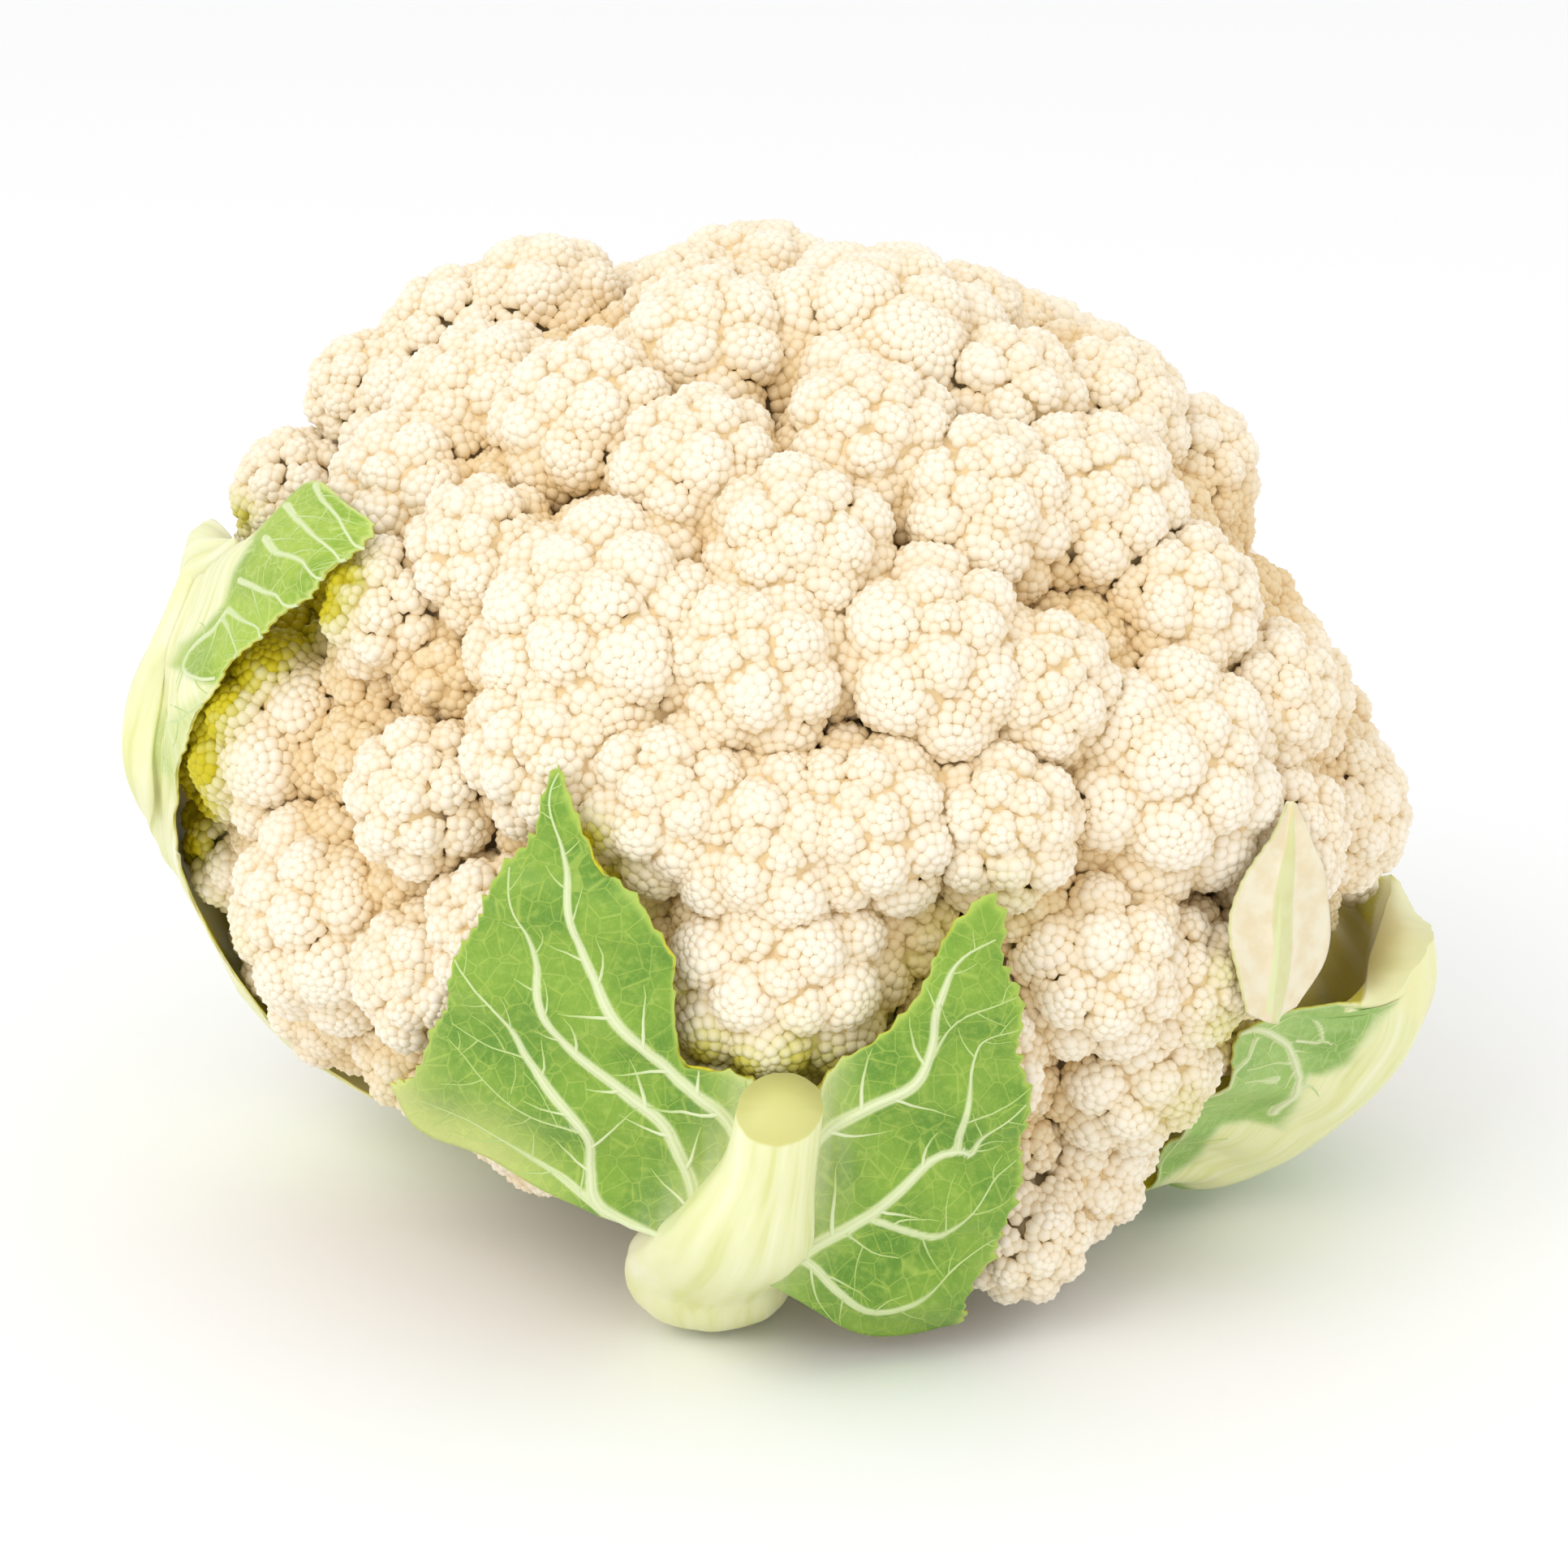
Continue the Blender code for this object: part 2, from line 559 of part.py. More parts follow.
# The left leaf's upper rows: six places that show, as across, up and how far out, then how far
# inward, back and up of the last one its two hidden places lie
LEFT_ROWS = (
    (((-87.6, 3.0, 1), (-88.5, 3.0, 1), (-89.3, 2.5, 1),
      (-89.8, 2.3, 1), (-90.1, 2.1, 1), (-90.3, 2.0, 1)), (1.5, 12, 0), (5, 24, 0)),
    (((-81.0, 17.7, 2), (-84.5, 17.0, 2), (-88.0, 16.5, 2),
      (-89.2, 16.8, 2), (-90.6, 17.2, 1), (-91.7, 17.7, 1)), (1.5, 12, 0), (5, 23, 0)),
    (((-74.7, 23.8, 2), (-78.7, 25.2, 2), (-82.8, 26.6, 2),
      (-85.2, 26.6, 2), (-87.6, 26.4, 1), (-89.7, 26.0, 1)), (1.5, 11, 0), (5, 22, 0)),
    (((-64.6, 32.0, 2), (-71.5, 33.6, 3), (-79.0, 34.7, 3),
      (-81.8, 34.0, 2), (-84.4, 33.0, 1), (-86.5, 31.5, 1)), (1.5, 10, 0), (6, 20, 0)),
    (((-59.5, 38.3, 2), (-64.8, 42.6, 4), (-70.3, 46.8, 4),
      (-76.4, 36.6, 2), (-78.2, 36.4, 1), (-80.2, 35.8, 1)), (2, 7, -1), (7, 14, -4)),
)

# The right leaf's upper rows, from its near margin to its far one: across, up and depth
RIGHT_ROWS = (
    ((52.5, -60.5, -26), (55.5, -58.5, -24), (59.5, -55.5, -19), (61.5, -51.5, -10), (61.0, -43.0, 8)),
    ((57.2, -54.0, -32), (62.5, -53.5, -25), (68.5, -52.5, -18), (70.5, -48.0, -8), (69.0, -38.0, 12)),
    ((60.8, -48.0, -36), (68.5, -47.5, -27), (76.5, -47.0, -18), (78.5, -42.0, -6), (76.0, -32.0, 16)),
    ((65.5, -41.0, -38), (73.5, -41.0, -29), (83.0, -40.5, -18), (85.3, -35.0, -5), (81.0, -24.0, 19)),
    ((69.5, -35.0, -38), (77.5, -35.5, -29), (86.0, -34.5, -18), (88.0, -28.5, -5), (83.5, -18.5, 21)),
    ((78.5, -33.4, -35), (82.5, -33.5, -28), (86.8, -30.5, -19), (88.3, -24.5, -6), (85.0, -15.0, 21)),
    ((84.5, -32.4, -31), (86.0, -31.8, -27), (86.8, -28.5, -20), (88.2, -20.5, -8), (88.0, -13.0, 14)),
)


def left_leaf_net():
    """The left leaf from its base up: its front margin, flap, fold, flank and hidden back margin."""
    low = [
        leaf_base(-90.0, 30.0),
        [np.array([x, y, 12.5]) for x, y in ((-46, -13), (-49, -5), (-50, 3), (-49, 13), (-46, 24))],
        [around(a, 22, out) for a, out in ((-86, -6), (-90, -5), (-95, -4), (-104, -4), (-116, -4))],
        [around(a, z, out) for a, z, out in ((-85, 47, -3), (-87, 47, -3), (-90, 46, -3), (-98, 46, -3),
                                             (-112, 48, -2))],
    ]
    rows = [widened(row) for row in low]
    for front, near, far in LEFT_ROWS:
        points = [seen(*point) for point in front]
        rows.append(points + [behind(points[-1], *near), behind(points[-1], *far)])
    return rows


def right_leaf_net():
    """The right leaf from its base up to its slanting cut: near margin, flank and far margin."""
    rows = [leaf_base(72.0, -26.0)]
    rows.append([np.array([x, y, 12.5]) for x, y in ((45, -30), (50, -23), (54, -15), (56, -5), (55, 7))])
    return rows + [[at_depth(*point) for point in row] for row in RIGHT_ROWS]


def inner_leaf_net():
    """The small inner leaf, from its base up to its tip."""
    places = (
        ((69.0, -34.0), (71.7, -35.0), (74.5, -34.0)),
        ((66.5, -26.5), (73.0, -27.0), (80.0, -26.0)),
        ((67.3, -16.5), (73.5, -17.0), (79.0, -16.5)),
        ((70.5, -8.0), (74.5, -8.0), (78.0, -8.0)),
        ((74.4, -3.0), (75.2, -2.5), (76.0, -3.0)),
    )
    return [[seen(x, y, 1.0) for x, y in row] for row in places]


def back_leaf_net(azimuth, top):
    """A leaf on the hidden side, from its base up to where it was cut, with waved margins."""
    rows = [leaf_base(azimuth, -12.0)]
    rows.append([by_stalk(azimuth + 17.0 * k, 47.0, 12.5) for k in (-1, -0.5, 0, 0.5, 1)])
    shape = ((26.0, 13.0), (40.0, 20.0), (54.0, 27.0), (68.0, 24.0), (80.0, 21.0), (top, 12.0))
    for index, (height, half_angle) in enumerate(shape):
        row = []
        for k in (-1.0, -0.5, 0.0, 0.5, 1.0):
            wave = 2.6 * abs(k) * math.sin(2.1 * index + 1.7 * k)
            lean = 2.0 * math.cos(3.0 * index)
            turn = azimuth + half_angle * k + lean * abs(k)
            row.append(around(turn, height + 5.0 * abs(k) - 4.0, 4.0 + wave))
        rows.append(row)
    return rows


def blade_grid(edges, rows, columns, knobs):
    """A blade within its four edges on the view plane, laid on the head and kept clear of it."""
    flat = patch_grid(edges["rib"], edges["head"], edges["margin"], edges["foot"], rows, columns)
    low = np.clip((LOW_FLARE_START - flat[..., 1]) / LOW_FLARE_SPAN, 0.0, 1.0)
    out = edges["out"] + LOW_FLARE * low
    grid = np.array([[seen(*flat[r, c], out[r, c]) for c in range(columns)] for r in range(rows)])
    ray = unit(grid - EYE)
    low = LEAF_FOOT + BLADE_THICK - grid[..., 2]
    grid = grid + ray * (np.maximum(low, 0.0) / ray[..., 2])[..., None]
    return clear_of_head(grid, knobs, LEAF_CLEARANCE)


def vein_ridges(rows, columns, middle=0):
    """Ridges that leave the rib every few rows and lean upwards, lower towards the margins."""
    ridges = np.zeros((rows, columns))
    for row in range(rows):
        for column in range(columns):
            aside = abs(column - middle)
            if (row - round(VEIN_LEAN * aside)) % VEIN_EVERY == 2:
                ridges[row, column] = VEIN_HEIGHT * (1.0 - 0.6 * aside / columns)
    return ridges


def ribbed_thickness(grid, place, start_thick, end_thick, width):
    """Thick along a rib at a share of the sheet's width, and thin between veins at its sides."""
    rows, columns = grid.shape[:2]
    aside = np.abs(np.linspace(0.0, 1.0, columns) - place)[None] / width
    rib = np.linspace(start_thick, end_thick, rows)[:, None]
    veins = vein_ridges(rows, columns, round(place * (columns - 1)))
    return BLADE_THICK + veins + (rib - BLADE_THICK) * np.exp(-(aside**2))


def united(base, others):
    """The base joined with the others by one union, as a plain mesh; the others are removed."""
    join = base.modifiers.new("joined", "BOOLEAN")
    join.operation = "UNION"
    join.operand_type = "COLLECTION"
    join.collection = others
    join.solver = "EXACT"
    mesh = evaluated_mesh(base)
    base.modifiers.clear()
    spare = base.data
    base.data = mesh
    bpy.data.meshes.remove(spare)
    for other in list(others.objects):
        bpy.data.objects.remove(other)
    bpy.data.collections.remove(others)
    return base


def build_front_leaf(material, collection, knobs):
    """The front leaf: a stout rib with a torn blade on each side, joined in one solid."""
    rings = clear_of_head(np.array(swept_rings(FRONT_RIB, RIB_SIDES, RIB_RINGS)), knobs, RIB_GAP)
    rib = part_object("leaf_front", loft("leaf_front", list(rings)), material, collection)
    blades = bpy.data.collections.new("front_blades")
    bpy.context.scene.collection.children.link(blades)
    rows, columns = BLADE_SIZE
    for name, edges in (("left_blade", LEFT_BLADE), ("right_blade", RIGHT_BLADE)):
        grid = toothed(blade_grid(edges, rows, columns, knobs), columns=(columns - 1,))
        thickness = BLADE_THICK + vein_ridges(rows, columns)
        part_object(name, sheet_mesh(name, grid, thickness), material, blades)
    return united(rib, blades)


def build_sheet_leaf(name, net, size, rib, teeth, material, collection, knobs):
    """A leaf that is one sheet: size is its rows and columns, rib its place, thicknesses and width."""
    grid = clear_of_head(net_grid(net, *size), knobs, LEAF_CLEARANCE)
    grid = toothed(grid, columns=teeth)
    return part_object(name, sheet_mesh(name, grid, ribbed_thickness(grid, *rib)), material, collection)


# Each sheet leaf: its name, net, rows and columns, rib (place, thick at its foot and its end,
# width), toothed columns and colour
SHEET_LEAVES = (
    ("leaf_left", left_leaf_net(), (28, 17), (0.714, 4.6, 1.6, 0.24), (0,), (0.74, 0.82, 0.42)),
    ("leaf_right", right_leaf_net(), (31, 13), (0.66, 7.0, 8.5, 0.24), (0,), (0.72, 0.82, 0.45)),
    ("leaf_inner", inner_leaf_net(), (17, 9), (0.5, 1.6, 1.2, 0.15), (0,), (0.92, 0.88, 0.74)),
    ("leaf_back_left", back_leaf_net(-152.0, 92.0), (27, 13), (0.5, 9.5, 5.5, 0.11), (0, 12),
     (0.50, 0.66, 0.22)),
    ("leaf_back_right", back_leaf_net(150.0, 84.0), (27, 13), (0.5, 9.5, 5.5, 0.11), (0, 12),
     (0.52, 0.68, 0.24)),
)


def main():
    """Build every sub-part."""
    for leftover in list(bpy.data.objects):
        bpy.data.objects.remove(leftover)
    collection = bpy.data.collections.new("cauliflower")
    bpy.context.scene.collection.children.link(collection)
    knobs = head_knobs()
    build_curd(part_material("curd", (0.93, 0.86, 0.70), 0.6), collection, knobs)
    build_stalk(part_material("stalk", (0.83, 0.86, 0.60), 0.5), collection)
    build_front_leaf(part_material("leaf_front", (0.40, 0.60, 0.16), 0.45), collection, knobs)
    for name, net, size, rib, teeth, colour in SHEET_LEAVES:
        material = part_material(name, colour, 0.45)
        build_sheet_leaf(name, net, size, rib, teeth, material, collection, knobs)


main()
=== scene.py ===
"""A trimmed cauliflower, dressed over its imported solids.

The curd is grown as on the real head: florets over the head, knobs in a spiral over each
floret, and beads in a spiral over each knob. The leaves are closed sheets with raised veins.
Lengths are in millimetres until a mesh is made, and forms that the photograph shows are
placed on a plane that faces the viewer, then carried along the line of sight onto the head.
"""

from __future__ import annotations

import logging
import math
from dataclasses import dataclass, field
from enum import Enum
from typing import Callable, ClassVar, Iterable, Sequence

import bmesh
import bpy
import numpy as np
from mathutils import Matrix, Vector
from mathutils.kdtree import KDTree


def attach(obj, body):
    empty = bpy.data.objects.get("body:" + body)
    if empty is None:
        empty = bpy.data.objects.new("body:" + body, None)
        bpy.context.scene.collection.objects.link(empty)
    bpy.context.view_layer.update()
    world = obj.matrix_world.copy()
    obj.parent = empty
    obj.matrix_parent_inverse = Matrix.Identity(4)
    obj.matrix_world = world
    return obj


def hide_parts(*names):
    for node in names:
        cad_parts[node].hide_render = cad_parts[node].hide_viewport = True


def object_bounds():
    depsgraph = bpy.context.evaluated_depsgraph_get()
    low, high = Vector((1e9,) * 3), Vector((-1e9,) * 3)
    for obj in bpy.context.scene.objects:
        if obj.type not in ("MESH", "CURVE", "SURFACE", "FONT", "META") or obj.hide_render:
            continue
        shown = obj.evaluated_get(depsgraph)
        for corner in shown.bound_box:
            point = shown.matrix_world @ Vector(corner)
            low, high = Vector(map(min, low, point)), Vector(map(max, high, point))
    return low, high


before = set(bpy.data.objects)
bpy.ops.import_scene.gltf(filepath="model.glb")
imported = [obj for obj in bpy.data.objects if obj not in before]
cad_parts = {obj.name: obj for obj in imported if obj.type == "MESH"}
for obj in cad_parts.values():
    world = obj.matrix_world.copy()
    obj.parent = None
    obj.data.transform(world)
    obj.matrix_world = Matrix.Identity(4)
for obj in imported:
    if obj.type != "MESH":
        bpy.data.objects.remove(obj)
CAD_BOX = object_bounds()

MM = 0.001
GOLDEN_ANGLE = math.pi * (3.0 - math.sqrt(5.0))
log = logging.getLogger("cauliflower")

Array = np.ndarray
Point2 = tuple[float, float]


class Slot(Enum):
    """The record's material slots."""

    CURD = "curd"
    STALK = "stalk"
    LEAF = "leaf"
    INNER_LEAF = "inner_leaf"


def unit(vectors: Array) -> Array:
    """The same directions at length one."""
    return vectors / np.maximum(np.linalg.norm(vectors, axis=-1, keepdims=True), 1e-9)


def smoothstep(low: float, high: float, values: Array) -> Array:
    """Zero below low, one above high, and an even curve between them."""
    t = np.clip((values - low) / (high - low), 0.0, 1.0)
    return t * t * (3.0 - 2.0 * t)


def falling(distance: Array, width: float | Array) -> Array:
    """One at no distance, falling smoothly to zero over a width."""
    return np.exp(-((distance / width) ** 2))


def stacked(*parts: Array) -> Array:
    """Coordinates of any shapes that fit one another, as one grid of points."""
    return np.stack(np.broadcast_arrays(*parts), axis=-1)


def ball_ways(count: int) -> Array:
    """Directions spread evenly over a ball by the golden angle."""
    index = np.arange(count)
    level = 1.0 - 2.0 * (index + 0.5) / count
    share = np.sqrt(1.0 - level**2)
    turn = GOLDEN_ANGLE * index
    return np.stack([share * np.cos(turn), share * np.sin(turn), level], axis=-1)


def finder_of(points: Array) -> KDTree:
    """A search tree over points."""
    finder = KDTree(len(points))
    for index, point in enumerate(points.tolist()):
        finder.insert(point, index)
    finder.balance()
    return finder


@dataclass(frozen=True)
class Sight:
    """The viewer, and the head that the viewer looks at, in millimetres."""

    aim: tuple[float, float, float] = (1.5, 1.5, 62.0)
    distance: float = 682.5
    elevation: float = math.radians(18.0)
    head_centre: tuple[float, float, float] = (3.5, 1.5, 64.0)
    head_half: tuple[float, float, float] = (91.0, 84.0, 81.0)
    stalk_axis: Point2 = (3.5, 11.5)

    @property
    def centre(self) -> Array:
        """The head's middle."""
        return np.array(self.head_centre)

    @property
    def half(self) -> Array:
        """The head's half sizes."""
        return np.array(self.head_half)

    @property
    def to_viewer(self) -> Array:
        """The way from the aim to the viewer."""
        return np.array([0.0, -math.cos(self.elevation), math.sin(self.elevation)])

    @property
    def up(self) -> Array:
        """The way up on the view plane."""
        return np.array([0.0, math.sin(self.elevation), math.cos(self.elevation)])

    @property
    def eye(self) -> Array:
        """Where the viewer's eye is."""
        return np.array(self.aim) + self.distance * self.to_viewer

    def seen(self, across: Array | float, up: Array | float, out: Array | float = 0.0) -> Array:
        """The points on the head that lie in front of places on the view plane.

        Args:
            across: millimetres to the right of the aim.
            up: millimetres above the aim.
            out: how far the head's form is raised.

        Returns:
            The points, or those that pass nearest the head where the sight line misses it.
        """
        across, up, out = np.broadcast_arrays(np.asarray(across, float), up, out)
        places = np.array(self.aim) + across[..., None] * np.array([1.0, 0.0, 0.0]) + up[..., None] * self.up
        ray = unit(places - self.eye)
        half = self.half + out[..., None]
        start = (self.eye - self.centre) / half
        step = ray / half
        square = np.sum(step * step, axis=-1)
        nearest = -np.sum(start * step, axis=-1) / square
        miss = start + nearest[..., None] * step
        inside = np.maximum(1.0 - np.sum(miss * miss, axis=-1), 0.0)
        return self.eye + (nearest - np.sqrt(inside / square))[..., None] * ray

    def at_depth(self, across: float, up: float, depth: float) -> Array:
        """The point on a line of sight that lies at a depth, along +Y."""
        ray = unit(np.array(self.aim) + np.array([across, 0.0, 0.0]) + up * self.up - self.eye)
        return self.eye + ray * (depth - self.eye[1]) / ray[1]

    def around(self, azimuth: float, height: float, out: float = 0.0) -> Array:
        """A point on the head at a height; azimuth 0 faces the viewer and 90 is to the right."""
        turn = math.radians(azimuth)
        level = min(max((height - self.head_centre[2]) / self.head_half[2], -1.0), 1.0)
        share = math.sqrt(1.0 - level * level)
        x = self.head_centre[0] + (self.head_half[0] * share + out) * math.sin(turn)
        y = self.head_centre[1] - (self.head_half[1] * share + out) * math.cos(turn)
        return np.array([x, y, height])

    def by_stalk(self, azimuth: float, radius: float, height: float) -> Array:
        """A point at a distance from the stalk's axis."""
        turn = math.radians(azimuth)
        x = self.stalk_axis[0] + radius * math.sin(turn)
        y = self.stalk_axis[1] - radius * math.cos(turn)
        return np.array([x, y, height])

    def from_stalk(self, points: Array) -> Array:
        """How far points lie from the stalk's axis."""
        return np.linalg.norm(points[..., :2] - np.array(self.stalk_axis), axis=-1)


SIGHT = Sight()


def smooth_through(points: Sequence, places: Array) -> Array:
    """Places along a smooth curve through points.

    Args:
        points: the curve's points, of any shape after their first axis.
        places: where to read it; 1.5 is half way between points 1 and 2.

    Returns:
        One point for each place.
    """
    points = np.asarray(points, float)
    last = len(points) - 1
    padded = np.concatenate([[2 * points[0] - points[1]], points, [2 * points[-1] - points[-2]]])
    start = np.minimum(np.floor(places).astype(int), last - 1)
    t = (places - start).reshape((-1,) + (1,) * (points.ndim - 1))
    a, b, c, d = (padded[start + k] for k in range(4))
    return 0.5 * (2 * b + (c - a) * t + (2 * a - 5 * b + 4 * c - d) * t**2 + (3 * b - a - 3 * c + d) * t**3)


def curve_of(points: Sequence, count: int) -> Array:
    """A number of places spread along a smooth curve through points."""
    return smooth_through(points, np.linspace(0.0, len(points) - 1.0, count))


def on_view_plane(points: Array) -> tuple[Array, Array, Array]:
    """Where points are seen: across, up, and how far in front of the aim they lie."""
    away = points - np.array(SIGHT.aim)
    front = away @ SIGHT.to_viewer
    scale = SIGHT.distance / (SIGHT.distance - front)
    return away[..., 0] * scale, (away @ SIGHT.up) * scale, front


def distance_to(route: Array, points: Array) -> tuple[Array, Array]:
    """How far points lie from a route, and how far along it their nearest places are.

    Args:
        route: the route's corners in the flat.
        points: places in the flat, in any grid.

    Returns:
        The distances, and the shares of the route's length.
    """
    nearest = np.full(points.shape[:-1], 1e9)
    along = np.zeros(points.shape[:-1])
    steps = np.linalg.norm(np.diff(route, axis=0), axis=1)
    total, run = steps.sum(), 0.0
    for start, end, step in zip(route, route[1:], steps):
        way = (end - start) / max(step, 1e-6)
        share = np.clip((points - start) @ way, 0.0, step)
        apart = np.linalg.norm(points - start - share[..., None] * way, axis=-1)
        closer = apart < nearest
        nearest = np.where(closer, apart, nearest)
        along = np.where(closer, (run + share) / total, along)
        run += step
    return nearest, along


def inside_by(points: Array, corners: Sequence[Point2]) -> Array:
    """How far places lie inside a closed outline; less than zero outside it."""
    closed = np.array([*corners, corners[0]], float)
    apart, _ = distance_to(closed, points)
    crossings = np.zeros(points.shape[:-1], int)
    for (x0, y0), (x1, y1) in zip(closed, closed[1:]):
        spans = (y0 > points[..., 1]) != (y1 > points[..., 1])
        rise = y1 - y0 if y1 != y0 else 1e-9
        crossings = crossings + (spans & (points[..., 0] < x0 + (points[..., 1] - y0) * (x1 - x0) / rise))
    return np.where(crossings % 2 == 1, apart, -apart)


@dataclass
class Head:
    """The curd's florets and the knobs of its solid, as the part's source places them."""

    sink: float = 0.86
    foot: float = 1.5
    core_share: float = 0.80
    knob_share: float = 0.36
    knob_reach: float = 0.72
    body_share: float = 0.84
    knobs_a_floret: int = 20
    knob_spread: float = math.radians(105.0)
    rest_places: int = 280
    rest_radius: float = 12.5
    rest_least_height: float = 29.0
    rest_clearance: float = 0.60
    rest_phase: float = 7.0
    gap_places: int = 700
    gap_radius: float = 8.5
    gap_depth: float = 15.0
    gap_least_height: float = 21.0
    gap_clearance: float = 0.95
    gap_apart: float = 10.0
    gap_margin: float = 2.0
    axis_lift: float = 12.0
    down_level: float = -0.05
    underside_top: float = 34.3
    underside_flat: float = 24.0
    underside_slope: float = 0.55
    underside_least: float = 15.0
    knobs_at_once: int = 16
    front: tuple[tuple[float, float, float], ...] = (
        (-0.7, -26.0, 17.0), (-16.5, -2.0, 13.0), (12.0, -6.0, 13.0), (-2.0, -9.0, 14.0),
        (-24.4, 20.0, 20.0), (-33.0, 5.0, 13.0), (2.3, 33.5, 13.5), (21.0, 17.7, 15.5),
        (31.4, -5.9, 11.5), (52.6, 2.0, 19.0), (38.0, 14.0, 10.5), (12.6, 58.0, 21.0),
        (-4.4, 71.0, 13.5), (28.4, 39.5, 13.5), (-12.8, 45.6, 12.0), (-27.4, 51.6, 14.5),
        (-52.8, 54.0, 15.5), (-38.3, 72.0, 13.0), (-49.2, 67.0, 12.0), (-44.4, 33.5, 11.0),
        (-57.7, 26.0, 10.0), (-71.0, 8.0, 17.0), (-52.8, -2.0, 11.0), (-64.0, -18.7, 17.0),
        (-52.0, -28.0, 11.0), (-70.0, -32.0, 13.0), (49.0, 59.0, 14.5), (61.5, 49.0, 10.5),
        (44.1, 39.5, 14.5), (58.0, 26.0, 12.0), (76.8, 14.0, 13.5), (81.5, -4.0, 12.0),
        (71.0, -8.0, 12.0), (45.3, -25.9, 13.5), (57.5, -28.4, 11.0), (70.0, -24.0, 11.0),
        (50.2, -40.5, 13.0), (40.5, -55.0, 13.5), (37.5, -71.0, 10.0), (26.0, -40.0, 12.0),
        (-74.0, 44.0, 9.5), (-65.0, 61.0, 9.0), (-14.0, 72.0, 9.0), (27.0, 70.0, 9.0),
        (-58.0, -42.0, 11.0), (-40.0, -22.0, 12.0), (-30.0, -38.0, 13.0), (-10.0, -45.0, 13.0),
    )
    # The curd's outline in the photograph, on the view plane
    outline: tuple[Point2, ...] = (
        (-81.9, 45.6), (-80.1, 51.6), (-72.2, 58.9), (-68.0, 66.2), (-62.5, 72.2), (-49.2, 76.5),
        (-38.3, 81.9),
        (-29.8, 82.5), (-20.1, 78.5), (-8.0, 82.9), (-0.7, 85.0), (4.1, 84.6), (9.0, 80.7), (17.5, 77.3),
        (27.2, 78.9), (33.8, 74.7), (38.7, 73.2), (49.0, 68.0), (62.3, 61.3), (72.0, 52.8), (71.8, 48.0),
        (69.0, 43.8), (69.0, 39.5), (70.8, 32.8), (76.8, 31.0), (82.9, 16.5), (89.0, 10.4), (93.2, -4.1),
        (93.4, -8.5), (89.0, -15.5), (83.0, -20.0), (78.0, -25.0), (73.0, -33.0), (67.0, -42.0),
        (60.0, -51.0),
        (52.6, -61.7), (44.7, -68.4), (42.9, -73.2), (34.4, -79.9), (27.8, -81.1), (-8.0, -81.7),
        (-26.2, -64.7),
        (-44.4, -55.0), (-58.9, -46.5), (-68.6, -41.7), (-79.5, -32.0), (-88.0, -19.9), (-89.8, -12.6),
        (-92.2, 1.9), (-92.8, 12.8), (-91.0, 22.5), (-86.2, 33.5),
    )
    outline_share: float = 0.94
    outline_steps: int = 30
    outline_step: float = 0.8
    florets: list[tuple[Array, float]] = field(default_factory=list)
    knob_centres: Array = field(default_factory=lambda: np.zeros((0, 3)))
    knob_radii: Array = field(default_factory=lambda: np.zeros(0))

    def __post_init__(self) -> None:
        """Places the florets and the solid's knobs."""
        shown = [(self.within(self.floret_centre(*floret), floret[2]), floret[2]) for floret in self.front]
        self.florets = shown + self.rest(shown)
        self.florets += self.gaps()
        knobs = [knob for floret in self.florets for knob in self.solid_knobs(*floret)]
        self.knob_centres = np.array([centre for centre, _ in knobs])
        self.knob_radii = np.array([radius for _, radius in knobs])

    def floret_centre(self, across: float, up: float, radius: float) -> Array:
        """Where a floret's middle lies, sunk in the head by a part of its radius."""
        centre = SIGHT.seen(across, up, -self.sink * radius)
        ray = unit(centre - SIGHT.eye)
        short = self.foot + radius - centre[2]
        return centre + ray * short / ray[2] if short > 0.0 else centre

    def within(self, centre: Array, radius: float) -> Array:
        """A floret's middle, moved across the line of sight until its ball is seen inside the outline."""
        for _ in range(self.outline_steps):
            across, up, _ = on_view_plane(centre)
            if inside_by(np.array([across, up]), self.outline) >= self.outline_share * radius:
                break
            inward = SIGHT.centre - centre
            inward = inward - (inward @ SIGHT.to_viewer) * SIGHT.to_viewer
            centre = centre + self.outline_step * unit(inward)
        return centre

    def rest(self, shown: list[tuple[Array, float]]) -> list[tuple[Array, float]]:
        """Evenly spread florets where the ones that show leave the head bare.

        Args:
            shown: the florets that the front shows.

        Returns:
            The middles and radii of the others.
        """
        found: list[tuple[Array, float]] = []
        for index, way in enumerate(ball_ways(self.rest_places)):
            radius = self.rest_radius * (0.86 + 0.28 * abs(math.sin(self.rest_phase + 2.4 * index)))
            centre = self.within(SIGHT.centre + (SIGHT.half - self.sink * radius) * way, radius)
            if centre[2] < self.rest_least_height:
                continue
            others = shown + found
            if all(np.linalg.norm(centre - c) > self.rest_clearance * (radius + r) for c, r in others):
                found.append((centre, radius))
        return found

    def gaps(self) -> list[tuple[Array, float]]:
        """Small deep florets where the others leave the core bare."""
        found: list[tuple[Array, float]] = []
        reach = self.gap_radius + self.gap_margin
        for way in ball_ways(self.gap_places):
            centre = self.within(SIGHT.centre + (SIGHT.half - self.gap_depth) * way, reach)
            covered = any(np.linalg.norm(centre - c) < self.gap_clearance * r for c, r in self.florets)
            taken = any(np.linalg.norm(centre - c) < self.gap_apart for c, _ in found)
            if centre[2] > self.gap_least_height and not covered and not taken:
                found.append((centre, self.gap_radius))
        return found

    def axes(self, centre: Array) -> tuple[Array, Array, Array]:
        """A floret's way out of the head, and two ways across it."""
        axis = unit(centre - SIGHT.centre + np.array([0.0, 0.0, self.axis_lift]))
        side = unit(np.cross(axis, SIGHT.to_viewer + np.array([0.3, 0.0, 0.0])))
        return axis, side, np.cross(axis, side)

